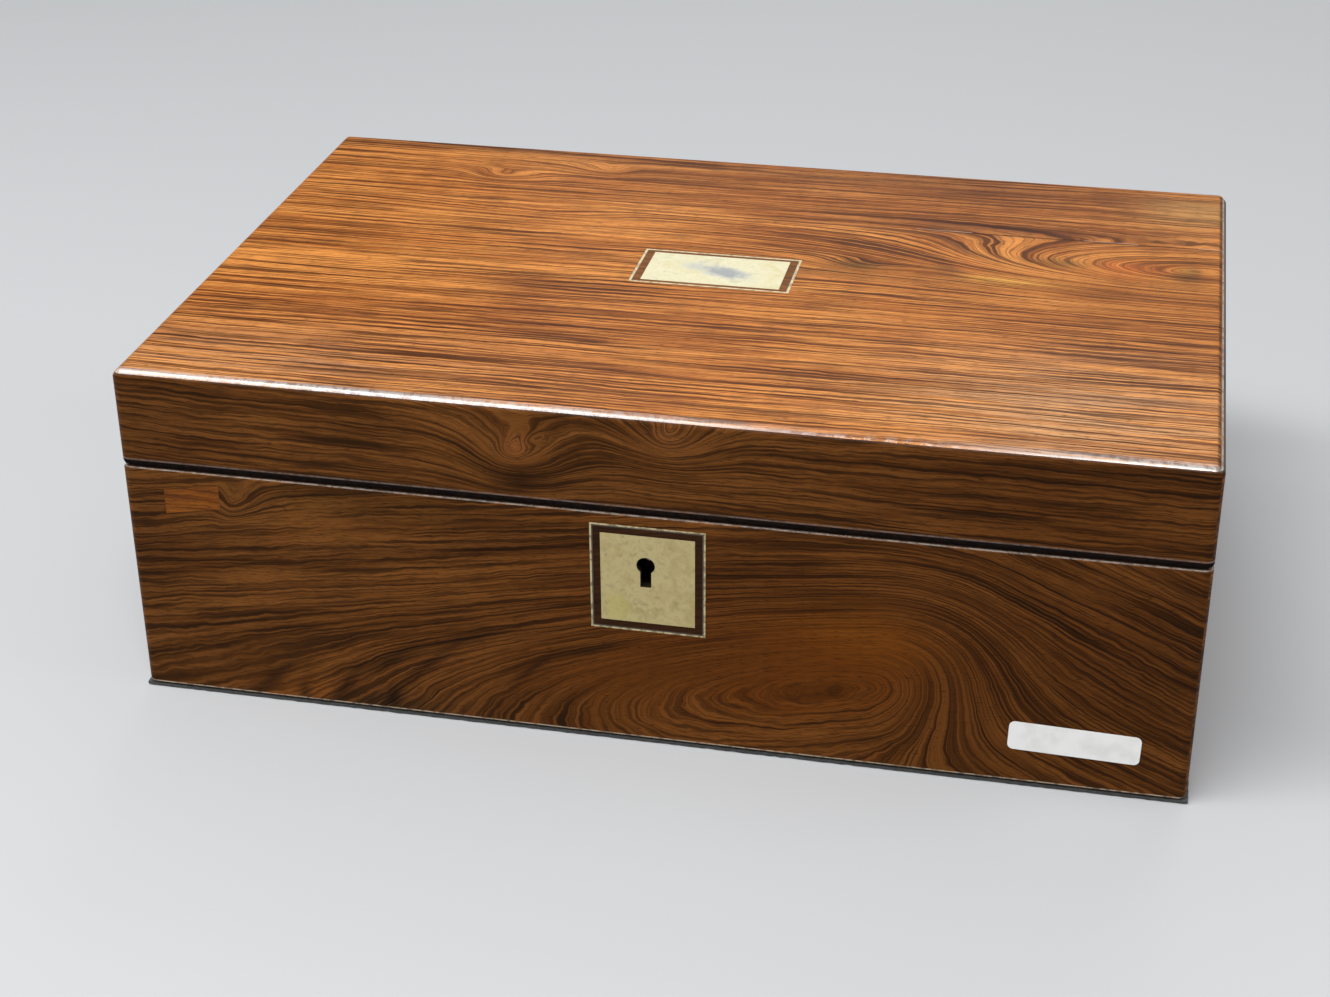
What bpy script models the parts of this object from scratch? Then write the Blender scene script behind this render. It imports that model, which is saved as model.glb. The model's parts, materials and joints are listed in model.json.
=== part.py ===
"""A Victorian rosewood writing slope, closed: a box split on a slanting plane that opens
into a sloping desk. Metres, +Z up, front (keyhole) towards -Y, origin on the table under
the middle of the box. Each piece is an object of its own."""

import math

import bmesh
import bpy
from mathutils import Matrix, Vector

# Overall sizes
BOX_WIDTH = 0.350
BOX_DEPTH = 0.230
BOX_HEIGHT = 0.1191
LID_FRONT_HEIGHT = 0.0343
SEAM_GAP = 0.0005
HINGE_AXIS_PROUD = 0.0003

# Clearances
GLUE_GAP = 0.0003
INLAY_GAP = 0.0002
FLAP_GAP = 0.0008
OVERRUN = 0.002

# Boards, veneers and the cloth underneath
VENEER = 0.0015
WALL_BOARD = 0.0092
TOP_BOARD = 0.0070
BOTTOM_BOARD = 0.0070
FELT_THICKNESS = 0.0018
FELT_INSET = 0.0005
CORNER_ROUNDING = 0.0030
TOP_ARRIS = 0.0028
SEAM_ARRIS = 0.0006
FOOT_ARRIS = 0.0006
BOARD_ARRIS = 0.0003

# Name plate on the lid and the line let in round it
NAME_PLATE_WIDTH = 0.0485
NAME_PLATE_DEPTH = 0.0250
NAME_PLATE_OFFSET_Y = 0.0036
NAME_LINE_WIDTH = 0.0560
NAME_LINE_DEPTH = 0.0300
LINE_BREADTH = 0.0010
LINE_THICKNESS = 0.0007

# Escutcheon on the front, the line round it, and the keyhole
ESCUTCHEON_WIDTH = 0.0305
ESCUTCHEON_HEIGHT = 0.0315
ESCUTCHEON_CENTRE_X = 0.0012
ESCUTCHEON_DROP = 0.0229
ESCUTCHEON_LINE_WIDTH = 0.0373
ESCUTCHEON_LINE_HEIGHT = 0.0380
KEYHOLE_X = 0.0006
KEYHOLE_DROP = 0.0178
KEYHOLE_RADIUS = 0.0030
KEYHOLE_SLOT_WIDTH = 0.0036
KEYHOLE_SLOT_LENGTH = 0.0079

# Old repair let into the front veneer
PATCH_INSET = 0.0150
PATCH_WIDTH = 0.0190
PATCH_DROP = 0.0160
PATCH_HEIGHT = 0.0086
PATCH_RISE = 0.0032

# Butt hinges
HINGE_END_INSET = 0.0510
HINGE_LENGTH = 0.0380
HINGE_LEAF_WIDTH = 0.0088
HINGE_LEAF_THICKNESS = 0.0011
KNUCKLE_RADIUS = 0.0022
KNUCKLE_BORE_RADIUS = 0.0011
KNUCKLE_COUNT = 5
HINGE_PIN_RADIUS = 0.0008
HINGE_SCREW_RADIUS = 0.0010
HINGE_SCREW_SPACING = 0.0140
HINGE_SCREW_SETBACK = 0.0035

# Box lock
LOCK_WIDTH = 0.0640
LOCK_DEPTH = 0.0080
LOCK_PLATE_THICKNESS = 0.0012
SELVEDGE_THICKNESS = 0.0015
LOCK_DROP = 0.0308
CASE_WIDTH = 0.0520
CASE_WALL = 0.0008
CASE_BOTTOM_DROP = 0.0283
CASE_TOP_DROP = 0.0036
BOLT_THICKNESS = 0.0014
BOLT_BAR_DROP = 0.0142
BOLT_BAR_HEIGHT = 0.0040
BOLT_THROW = 0.0045
BOLT_END_MARGIN = 0.0040
PRONG_HEIGHT = 0.0024
PRONG_REST_GAP = 0.0008
PRONG_SPARE = 0.0005
RISER_WIDTH = 0.0025
TALON_WIDTH = 0.0044
TALON_DEPTH = 0.0009
STUD_RADIUS = 0.0006
STUD_REACH = 0.0046
STUD_SPACING = 0.0220
STUD_OFFSET_X = 0.0020
KEY_PIN_RADIUS = 0.0009
KEY_PIN_REACH = 0.0040
SPRING_THICKNESS = 0.0004
SPRING_WIDTH = 0.0022
SPRING_DROP = 0.0040
SPRING_LENGTH = 0.0130
LOCK_SCREW_INSET = 0.0030
LOCK_SCREW_DROP = 0.0060
SCREW_HEAD_RADIUS = 0.0020
SCREW_HEAD_HEIGHT = 0.0010
SCREW_SHANK_RADIUS = 0.0011
SCREW_LENGTH = 0.0050

# Link plate in the lid
LINK_SPACING = 0.0260
LINK_THICKNESS = 0.0020
LINK_WIDTH = 0.0036
LINK_LENGTH = 0.0090
LINK_EYE_WIDTH = 0.0022
LINK_EYE_HEIGHT = 0.0036
LINK_EYE_DROP = 0.0056
LINK_SETBACK = 0.0018
LINK_SWING_ROOM = 0.0015
LINK_SIDE_ROOM = 0.0005

# Fittings inside the base
PEN_WELL_DEPTH = 0.0560
RAIL_THICKNESS = 0.0050
LEDGE_WIDTH = 0.0045
LEDGE_HEIGHT = 0.0060
FLAP_THICKNESS = 0.0045
LEATHER_THICKNESS = 0.0009
LEATHER_SINK = 0.0014
LEATHER_MARGIN = 0.0100
RAIL_SINK = 0.0012
INK_WELL_WIDTH = 0.0460
PARTITION_THICKNESS = 0.0070
PARTITION_TOP_DROP = 0.0108
PARTITION_SHOULDER = 0.0030
PEN_TRAY_TOP_DROP = 0.0118
PEN_TRAY_HEIGHT = 0.0185
PEN_TRAY_RIM = 0.0060
PEN_TROUGH_DEPTH = 0.0130
PEN_SCOOP_SHARE = 0.9

# Ink bottles
BOTTLE_WIDTH = 0.0380
BOTTLE_TOP_DROP = 0.0254
BOTTLE_WALL = 0.0030
BOTTLE_EDGE = 0.0030
BOTTLE_NECK_RADIUS = 0.0095
BOTTLE_NECK_BORE = 0.0070
BOTTLE_NECK_HEIGHT = 0.0080
CAP_RADIUS = 0.0130
CAP_WALL = 0.0012
CAP_DOME_HEIGHT = 0.0040

# Turn button that holds the lid's flap
CATCH_WIDTH = 0.0056
CATCH_REACH = 0.0095
CATCH_THICKNESS = 0.0010
CATCH_SCREW_RADIUS = 0.0011
CATCH_SCREW_HEAD_RADIUS = 0.0022
CATCH_SCREW_HEAD_HEIGHT = 0.0010
CATCH_SCREW_LENGTH = 0.0080
LID_LEDGE_UPSTAND = 0.0064

# Smoothness
ROUND_SIDES = 24
SMALL_SIDES = 12
ARC_STEPS = 10
CORNER_STEPS = 4
RIM_STEPS = 2
EASED_STEPS = 1
SCOOP_STEPS = 5
DOME_STEPS = 4
SMOOTH_ANGLE = math.radians(40)
SAME_PLACE = 0.00003
WELD_DISTANCE = 0.000003
FACING = 0.5

# Sizes that follow
HALF_WIDTH = BOX_WIDTH / 2
HALF_DEPTH = BOX_DEPTH / 2
HALF_SEAM = SEAM_GAP / 2
SEAM_FRONT_HEIGHT = BOX_HEIGHT - LID_FRONT_HEIGHT
HINGE_Y = HALF_DEPTH + HINGE_AXIS_PROUD
HINGE_Z = BOX_HEIGHT / 2
SLOPE = math.atan2(SEAM_FRONT_HEIGHT - HINGE_Z, HINGE_Y + HALF_DEPTH)
WOOD_BOTTOM_Z = FELT_THICKNESS + GLUE_GAP
BOARD_INSET = VENEER + GLUE_GAP
WALL = BOARD_INSET + WALL_BOARD
INNER_HALF_WIDTH = HALF_WIDTH - WALL
INNER_HALF_DEPTH = HALF_DEPTH - WALL
BASE_FLOOR_Z = WOOD_BOTTOM_Z + BOTTOM_BOARD
TOP_VENEER_Z = BOX_HEIGHT - VENEER
TOP_BOARD_Z = TOP_VENEER_Z - GLUE_GAP - TOP_BOARD
LID_WALL_TOP_Z = TOP_BOARD_Z - GLUE_GAP
FRONT_INNER_Y = -INNER_HALF_DEPTH
LEATHER_TOP = LEATHER_SINK
LEATHER_BACK = LEATHER_TOP + LEATHER_THICKNESS
FLAP_TOP = LEATHER_BACK + GLUE_GAP
FLAP_BACK = FLAP_TOP + FLAP_THICKNESS
LEDGE_TOP = FLAP_BACK + GLUE_GAP
LEDGE_BACK = LEDGE_TOP + LEDGE_HEIGHT
ESCUTCHEON_CENTRE_Z = SEAM_FRONT_HEIGHT - ESCUTCHEON_DROP
KEYHOLE_Z = SEAM_FRONT_HEIGHT - KEYHOLE_DROP
KEYHOLE_BOTTOM_Z = KEYHOLE_Z - KEYHOLE_SLOT_LENGTH
PATCH_LEFT_X = PATCH_INSET - HALF_WIDTH
PATCH_LEFT_BOTTOM_Z = SEAM_FRONT_HEIGHT - PATCH_DROP
HINGE_OFFSET_X = HALF_WIDTH - HINGE_END_INSET - HINGE_LENGTH / 2
LOCK_BOTTOM_Z = SEAM_FRONT_HEIGHT - LOCK_DROP
CASE_BOTTOM_Z = SEAM_FRONT_HEIGHT - CASE_BOTTOM_DROP
CASE_TOP_Z = SEAM_FRONT_HEIGHT - CASE_TOP_DROP
BOLT_BAR_BOTTOM_Z = SEAM_FRONT_HEIGHT - BOLT_BAR_DROP
PARTITION_TOP_Z = SEAM_FRONT_HEIGHT - PARTITION_TOP_DROP
PEN_TRAY_BOTTOM_Z = SEAM_FRONT_HEIGHT - PEN_TRAY_TOP_DROP - PEN_TRAY_HEIGHT


def slope_z(y, lift=0.0):
    """Height at y of the plane that lies lift above the seam's middle plane."""
    return HINGE_Z + (HINGE_Y - y) * math.tan(SLOPE) + lift / math.cos(SLOPE)


def along(y):
    """Distance along the slope from the hinge axis to the upright plane at y."""
    return (y - HINGE_Y) / math.cos(SLOPE)


# Finishes: colour, roughness, metallic
FINISHES = {
    "rosewood_top": ((0.22, 0.065, 0.024), 0.28, 0.0),
    "rosewood_front": ((0.10, 0.034, 0.016), 0.30, 0.0),
    "carcass_wood": ((0.30, 0.13, 0.06), 0.55, 0.0),
    "patch_wood": ((0.36, 0.11, 0.030), 0.35, 0.0),
    "pearl": ((0.62, 0.56, 0.38), 0.25, 0.0),
    "line_inlay": ((0.55, 0.45, 0.25), 0.35, 0.0),
    "brass": ((0.62, 0.45, 0.18), 0.35, 1.0),
    "iron": ((0.30, 0.29, 0.28), 0.45, 1.0),
    "felt": ((0.020, 0.022, 0.024), 0.95, 0.0),
    "leather": ((0.055, 0.012, 0.012), 0.50, 0.0),
    "glass": ((0.75, 0.82, 0.78), 0.05, 0.0),
}


def clear_scene():
    """Start from an empty file."""
    for old in list(bpy.data.objects):
        bpy.data.objects.remove(old, do_unlink=True)


def new_collection(name):
    """A collection in the scene."""
    group = bpy.data.collections.new(name)
    bpy.context.scene.collection.children.link(group)
    return group


clear_scene()
PIECES = new_collection("writing_slope")
CUTTERS = new_collection("cutters")


def finish(kind):
    """The material of one kind, made once."""
    if kind in bpy.data.materials:
        return bpy.data.materials[kind]
    colour, roughness, metallic = FINISHES[kind]
    material = bpy.data.materials.new(kind)
    material.use_nodes = True
    shader = material.node_tree.nodes["Principled BSDF"]
    shader.inputs["Base Color"].default_value = (*colour, 1)
    shader.inputs["Roughness"].default_value = roughness
    shader.inputs["Metallic"].default_value = metallic
    return material


def empty(name, location, tilt=0.0, parent=None):
    """A frame that pieces hang on, tilted about X."""
    frame = bpy.data.objects.new(name, None)
    PIECES.objects.link(frame)
    frame.parent = parent
    frame.location = location
    frame.rotation_euler = (tilt, 0, 0)
    return frame


LID_HINGE_AXIS = empty("lid_hinge_axis", (0, HINGE_Y, HINGE_Z))
BASE_SLOPE = empty("base_slope", (0, HINGE_Y, HINGE_Z), -SLOPE)
LID_SLOPE = empty("lid_slope", (0, 0, 0), -SLOPE, LID_HINGE_AXIS)


def hang(piece, parent, in_parent_frame):
    """Parent a piece, whose place is given in its parent's frame or in the world's."""
    if parent is None:
        return
    piece.parent = parent
    if not in_parent_frame:
        piece.matrix_parent_inverse = Matrix.Translation(LID_HINGE_AXIS.location).inverted()


def add_piece(name, mesh, kind, parent=None, in_parent_frame=False):
    """Link a mesh as a named piece with its finish."""
    piece = bpy.data.objects.new(name, mesh)
    PIECES.objects.link(piece)
    mesh.materials.append(finish(kind))
    hang(piece, parent, in_parent_frame)
    return piece


def add_cutter(name, mesh, parent=None):
    """Link a mesh as a hidden tool that cuts other pieces."""
    cutter = bpy.data.objects.new(name, mesh)
    CUTTERS.objects.link(cutter)
    cutter.hide_render = True
    cutter.display_type = "WIRE"
    cutter.parent = parent
    return cutter


def box_mesh(name, low, high):
    """A block between two corners."""
    bm = bmesh.new()
    bmesh.ops.create_cube(bm, size=1)
    low = Vector(low)
    high = Vector(high)
    bmesh.ops.scale(bm, vec=high - low, verts=bm.verts)
    bmesh.ops.translate(bm, vec=(low + high) / 2, verts=bm.verts)
    mesh = bpy.data.meshes.new(name)
    bm.to_mesh(mesh)
    bm.free()
    return mesh


def prism_mesh(name, outlines, low, high, axis):
    """Flat outlines swept along an axis; an outline inside another is a hole. The points
    are (y, z) for axis X, (x, z) for axis Y and (x, y) for axis Z."""
    curve = bpy.data.curves.new(name, "CURVE")
    curve.dimensions = "2D"
    curve.fill_mode = "BOTH"
    curve.extrude = (high - low) / 2
    for outline in outlines:
        spline = curve.splines.new("POLY")
        spline.points.add(len(outline) - 1)
        for point, (across, up) in zip(spline.points, outline):
            point.co = (across, up, 0, 1)
        spline.use_cyclic_u = True
    holder = bpy.data.objects.new(name, curve)
    CUTTERS.objects.link(holder)
    bpy.context.view_layer.update()
    graph = bpy.context.evaluated_depsgraph_get()
    mesh = bpy.data.meshes.new_from_object(holder.evaluated_get(graph))
    bpy.data.objects.remove(holder, do_unlink=True)
    bm = bmesh.new()
    bm.from_mesh(mesh)
    bmesh.ops.remove_doubles(bm, verts=bm.verts, dist=WELD_DISTANCE)
    middle = (low + high) / 2
    rotation = {
        "X": Matrix(((0, 0, 1), (1, 0, 0), (0, 1, 0))),
        "Y": Matrix(((1, 0, 0), (0, 0, -1), (0, 1, 0))),
        "Z": Matrix.Identity(3),
    }[axis]
    shift = {"X": (middle, 0, 0), "Y": (0, middle, 0), "Z": (0, 0, middle)}[axis]
    bmesh.ops.transform(bm, matrix=Matrix.Translation(shift) @ rotation.to_4x4(), verts=bm.verts)
    bmesh.ops.recalc_face_normals(bm, faces=bm.faces)
    bm.to_mesh(mesh)
    bm.free()
    return mesh


def cylinder_mesh(name, radius, start, end, sides=SMALL_SIDES, end_radius=None):
    """A round bar, or a cone, from one point to another."""
    start = Vector(start)
    end = Vector(end)
    run = end - start
    bm = bmesh.new()
    bmesh.ops.create_cone(
        bm,
        cap_ends=True,
        segments=sides,
        radius1=radius,
        radius2=radius if end_radius is None else end_radius,
        depth=run.length,
    )
    turn = Vector((0, 0, 1)).rotation_difference(run).to_matrix().to_4x4()
    bmesh.ops.transform(bm, matrix=Matrix.Translation((start + end) / 2) @ turn, verts=bm.verts)
    mesh = bpy.data.meshes.new(name)
    bm.to_mesh(mesh)
    bm.free()
    return mesh


def boolean(piece, tool, operation="DIFFERENCE"):
    """Cut, join or trim a piece with another object."""
    modifier = piece.modifiers.new(tool.name, "BOOLEAN")
    modifier.operation = operation
    modifier.solver = "EXACT"
    modifier.object = tool


def ease(piece, width=BOARD_ARRIS):
    """Take the sharpness off the edges."""
    bevel = piece.modifiers.new("eased_edges", "BEVEL")
    bevel.width = width
    bevel.segments = EASED_STEPS
    bevel.limit_method = "ANGLE"
    bevel.angle_limit = SMOOTH_ANGLE


def smooth(piece):
    """Shade round faces smooth and keep true edges sharp."""
    piece.data.shade_smooth()
    piece.data.set_sharp_from_angle(angle=SMOOTH_ANGLE)


def arc(centre, radius, start, end, steps=ARC_STEPS):
    """Points on an arc, angles in radians."""
    points = []
    for step in range(steps + 1):
        angle = start + (end - start) * step / steps
        points.append((centre[0] + radius * math.cos(angle), centre[1] + radius * math.sin(angle)))
    return points


def rectangle(centre_x, centre_y, width, height):
    """Corner points of an upright rectangle."""
    return [
        (centre_x - width / 2, centre_y - height / 2),
        (centre_x + width / 2, centre_y - height / 2),
        (centre_x + width / 2, centre_y + height / 2),
        (centre_x - width / 2, centre_y + height / 2),
    ]


def keyhole(grow=0.0):
    """Outline of the keyhole: a round top and a straight slot below."""
    radius = KEYHOLE_RADIUS + grow
    half_slot = KEYHOLE_SLOT_WIDTH / 2 + grow
    corner = math.asin(half_slot / radius)
    start = -math.pi / 2 + corner
    end = 3 * math.pi / 2 - corner
    points = arc((KEYHOLE_X, KEYHOLE_Z), radius, start, end, ROUND_SIDES)
    points.append((KEYHOLE_X - half_slot, KEYHOLE_BOTTOM_Z - grow))
    points.append((KEYHOLE_X + half_slot, KEYHOLE_BOTTOM_Z - grow))
    return points


# The outer form: two rounded blocks that meet at the seam

def bevel_edges(bm, wanted, width, segments):
    """Round the edges that a test picks."""
    edges = [edge for edge in bm.edges if wanted(edge)]
    bmesh.ops.bevel(
        bm,
        geom=edges,
        offset=width,
        segments=segments,
        profile=0.5,
        affect="EDGES",
        clamp_overlap=True,
    )


def is_corner(edge):
    """Whether an edge is one of the block's four upright corners."""
    first, second = (vert.co for vert in edge.verts)
    upright = (first.xy - second.xy).length < SAME_PLACE
    return upright and abs(abs(first.x) - HALF_WIDTH) < SAME_PLACE


def outer_form(name, bottom, top, upper, end_arris, end_steps):
    """A block of the box's outline cut off at the seam, its corners and rims rounded."""
    mesh = box_mesh(name, (-HALF_WIDTH, -HALF_DEPTH, bottom), (HALF_WIDTH, HALF_DEPTH, top))
    normal = Vector((0, math.sin(SLOPE), math.cos(SLOPE)))
    point = Vector((0, 0, slope_z(0, HALF_SEAM if upper else -HALF_SEAM)))
    end = top if upper else bottom
    bm = bmesh.new()
    bm.from_mesh(mesh)
    bmesh.ops.bisect_plane(
        bm,
        geom=bm.verts[:] + bm.edges[:] + bm.faces[:],
        plane_co=point,
        plane_no=-normal if upper else normal,
        clear_outer=True,
    )
    bmesh.ops.contextual_create(bm, geom=[edge for edge in bm.edges if edge.is_boundary])

    def at_seam(edge):
        return all(abs((vert.co - point).dot(normal)) < SAME_PLACE for vert in edge.verts)

    def at_end(edge):
        return all(abs(vert.co.z - end) < SAME_PLACE for vert in edge.verts)

    bevel_edges(bm, is_corner, CORNER_ROUNDING, CORNER_STEPS)
    bevel_edges(bm, at_seam, SEAM_ARRIS, RIM_STEPS)
    bevel_edges(bm, at_end, end_arris, end_steps)
    bmesh.ops.recalc_face_normals(bm, faces=bm.faces)
    bm.to_mesh(mesh)
    bm.free()
    return add_cutter(name, mesh)


BASE_FORM = outer_form("base_outer_form", WOOD_BOTTOM_Z, SEAM_FRONT_HEIGHT + OVERRUN, False,
                       FOOT_ARRIS, EASED_STEPS)
LID_FORM = outer_form("lid_outer_form", HINGE_Z - OVERRUN, BOX_HEIGHT, True, TOP_ARRIS,
                      CORNER_STEPS)


def seam_cutter(name, parent, low, high):
    """A slab on the slope's frame between two lifts, wider and deeper than the box."""
    reach = BOX_DEPTH + BOX_WIDTH
    return add_cutter(
        name, box_mesh(name, (-BOX_WIDTH, -reach, low), (BOX_WIDTH, reach, high)), parent)


ABOVE_BASE = seam_cutter("above_base_rim", BASE_SLOPE, -HALF_SEAM, BOX_HEIGHT)
BELOW_LID = seam_cutter("below_lid_rim", LID_SLOPE, -BOX_HEIGHT, HALF_SEAM)

WALL_TURNS = {"front": 0, "right": math.pi / 2, "back": math.pi, "left": -math.pi / 2}


def wall_mesh(name, side, inset, thickness, bottom, top, proud=0.0):
    """A wall with mitred ends, made as the front one and turned to its side."""
    long_way = side in ("front", "back")
    half_run = (HALF_WIDTH if long_way else HALF_DEPTH) - inset + proud
    half_reach = (HALF_DEPTH if long_way else HALF_WIDTH) - inset + proud
    mitre = GLUE_GAP / math.sqrt(2)
    deep = thickness + proud
    outline = [
        (-half_run + mitre, -half_reach),
        (half_run - mitre, -half_reach),
        (half_run - mitre - deep, -half_reach + deep),
        (-half_run + mitre + deep, -half_reach + deep),
    ]
    mesh = prism_mesh(name, [outline], bottom, top, "Z")
    mesh.transform(Matrix.Rotation(WALL_TURNS[side], 4, "Z"))
    return mesh


def carcass(part, parent, bottom, top, seam):
    """The four boards of one half, mitred at the corners and cut off at the seam."""
    boards = {}
    for side in WALL_TURNS:
        name = f"{part}_{side}_board"
        mesh = wall_mesh(name, side, BOARD_INSET, WALL_BOARD, bottom, top)
        boards[side] = add_piece(name, mesh, "carcass_wood", parent)
        boolean(boards[side], seam)
    return boards


def veneers(part, parent, bottom, top, form, kind):
    """The four sheets of veneer of one half, mitred and rounded with the box's corners."""
    sheets = {}
    for side in WALL_TURNS:
        name = f"{part}_{side}_veneer"
        mesh = wall_mesh(name, side, 0, VENEER, bottom, top, OVERRUN)
        sheets[side] = add_piece(name, mesh, kind, parent)
        boolean(sheets[side], form, "INTERSECT")
    return sheets


# Carcass of the base
BASE_BOARDS = carcass(
    "base", None, BASE_FLOOR_Z + GLUE_GAP, SEAM_FRONT_HEIGHT + OVERRUN, ABOVE_BASE)
BASE_VENEERS = veneers(
    "base", None, WOOD_BOTTOM_Z - OVERRUN, SEAM_FRONT_HEIGHT + OVERRUN, BASE_FORM,
    "rosewood_front")
BOARD_HALF_WIDTH = HALF_WIDTH - BOARD_INSET
BOARD_HALF_DEPTH = HALF_DEPTH - BOARD_INSET
add_piece(
    "base_bottom_board",
    box_mesh("base_bottom_board", (-BOARD_HALF_WIDTH, -BOARD_HALF_DEPTH, WOOD_BOTTOM_Z),
             (BOARD_HALF_WIDTH, BOARD_HALF_DEPTH, BASE_FLOOR_Z)),
    "carcass_wood")
FELT_HALF_WIDTH = HALF_WIDTH - FELT_INSET
FELT_HALF_DEPTH = HALF_DEPTH - FELT_INSET
add_piece(
    "underside_felt",
    box_mesh("underside_felt", (-FELT_HALF_WIDTH, -FELT_HALF_DEPTH, 0),
             (FELT_HALF_WIDTH, FELT_HALF_DEPTH, FELT_THICKNESS)),
    "felt")

# Carcass of the lid
LID_BOARDS = carcass("lid", LID_HINGE_AXIS, HINGE_Z - OVERRUN, LID_WALL_TOP_Z, BELOW_LID)
LID_VENEERS = veneers(
    "lid", LID_HINGE_AXIS, HINGE_Z - OVERRUN, TOP_VENEER_Z - GLUE_GAP, LID_FORM,
    "rosewood_front")
add_piece(
    "lid_top_board",
    box_mesh("lid_top_board", (-BOARD_HALF_WIDTH, -BOARD_HALF_DEPTH, TOP_BOARD_Z),
             (BOARD_HALF_WIDTH, BOARD_HALF_DEPTH, TOP_BOARD_Z + TOP_BOARD)),
    "carcass_wood", LID_HINGE_AXIS)
LID_TOP_VENEER = add_piece(
    "lid_top_veneer",
    box_mesh("lid_top_veneer",
             (-HALF_WIDTH - OVERRUN, -HALF_DEPTH - OVERRUN, TOP_VENEER_Z),
             (HALF_WIDTH + OVERRUN, HALF_DEPTH + OVERRUN, BOX_HEIGHT + OVERRUN)),
    "rosewood_top", LID_HINGE_AXIS)
boolean(LID_TOP_VENEER, LID_FORM, "INTERSECT")


# Inlays

def line_frame(name, centre, size, low, high, axis, kind, parent):
    """A thin line let in round a plate, as one mitred frame."""
    outer = rectangle(*centre, *size)
    inner = rectangle(*centre, size[0] - 2 * LINE_BREADTH, size[1] - 2 * LINE_BREADTH)
    mesh = prism_mesh(name, [outer, inner], low, high, axis)
    return add_piece(name, mesh, kind, parent)


def line_groove(name, centre, size, low, high, axis):
    """The groove that takes a line, wider by the inlay gap on both sides."""
    wide = 2 * INLAY_GAP
    outer = rectangle(*centre, size[0] + wide, size[1] + wide)
    inner = rectangle(
        *centre, size[0] - 2 * LINE_BREADTH - wide, size[1] - 2 * LINE_BREADTH - wide)
    return add_cutter(name, prism_mesh(name, [outer, inner], low, high, axis))


NAME_CENTRE = (0, NAME_PLATE_OFFSET_Y)
NAME_LINE_SIZE = (NAME_LINE_WIDTH, NAME_LINE_DEPTH)
add_piece(
    "name_plate",
    prism_mesh("name_plate", [rectangle(*NAME_CENTRE, NAME_PLATE_WIDTH, NAME_PLATE_DEPTH)],
               TOP_VENEER_Z, BOX_HEIGHT, "Z"),
    "pearl", LID_HINGE_AXIS)
line_frame("name_plate_line", NAME_CENTRE, NAME_LINE_SIZE, BOX_HEIGHT - LINE_THICKNESS,
           BOX_HEIGHT, "Z", "line_inlay", LID_HINGE_AXIS)
boolean(LID_TOP_VENEER, line_groove(
    "name_line_groove", NAME_CENTRE, NAME_LINE_SIZE,
    BOX_HEIGHT - LINE_THICKNESS - GLUE_GAP, BOX_HEIGHT + OVERRUN, "Z"))
boolean(LID_TOP_VENEER, add_cutter("name_plate_hole", prism_mesh(
    "name_plate_hole",
    [rectangle(*NAME_CENTRE, NAME_PLATE_WIDTH + 2 * INLAY_GAP, NAME_PLATE_DEPTH + 2 * INLAY_GAP)],
    TOP_VENEER_Z - OVERRUN, BOX_HEIGHT + OVERRUN, "Z")))

ESCUTCHEON_CENTRE = (ESCUTCHEON_CENTRE_X, ESCUTCHEON_CENTRE_Z)
ESCUTCHEON_LINE_SIZE = (ESCUTCHEON_LINE_WIDTH, ESCUTCHEON_LINE_HEIGHT)
FRONT_Y = -HALF_DEPTH
add_piece(
    "escutcheon_plate",
    prism_mesh(
        "escutcheon_plate",
        [rectangle(*ESCUTCHEON_CENTRE, ESCUTCHEON_WIDTH, ESCUTCHEON_HEIGHT), keyhole()],
        FRONT_Y, FRONT_Y + VENEER, "Y"),
    "pearl")
line_frame("escutcheon_line", ESCUTCHEON_CENTRE, ESCUTCHEON_LINE_SIZE, FRONT_Y,
           FRONT_Y + LINE_THICKNESS, "Y", "line_inlay", None)
FRONT_VENEER = BASE_VENEERS["front"]
boolean(FRONT_VENEER, line_groove(
    "escutcheon_line_groove", ESCUTCHEON_CENTRE, ESCUTCHEON_LINE_SIZE, FRONT_Y - OVERRUN,
    FRONT_Y + LINE_THICKNESS + GLUE_GAP, "Y"))
boolean(FRONT_VENEER, add_cutter("escutcheon_hole", prism_mesh(
    "escutcheon_hole",
    [rectangle(*ESCUTCHEON_CENTRE, ESCUTCHEON_WIDTH + 2 * INLAY_GAP,
               ESCUTCHEON_HEIGHT + 2 * INLAY_GAP)],
    FRONT_Y - OVERRUN, FRONT_Y + VENEER + OVERRUN / 2, "Y")))


def patch_outline(grow=0.0):
    """The leaning four-sided repair."""
    left = PATCH_LEFT_X - grow
    right = PATCH_LEFT_X + PATCH_WIDTH + grow
    low = PATCH_LEFT_BOTTOM_Z - grow
    high = PATCH_LEFT_BOTTOM_Z + PATCH_HEIGHT + grow
    return [(left, low), (right, low + PATCH_RISE), (right, high + PATCH_RISE), (left, high)]


add_piece(
    "veneer_patch",
    prism_mesh("veneer_patch", [patch_outline()], FRONT_Y, FRONT_Y + VENEER, "Y"),
    "patch_wood")
boolean(FRONT_VENEER, add_cutter("patch_hole", prism_mesh(
    "patch_hole", [patch_outline(INLAY_GAP)], FRONT_Y - OVERRUN,
    FRONT_Y + VENEER + OVERRUN / 2, "Y")))


# Hinges: five knuckles on a pin, leaves let into the rims of the back walls

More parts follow.
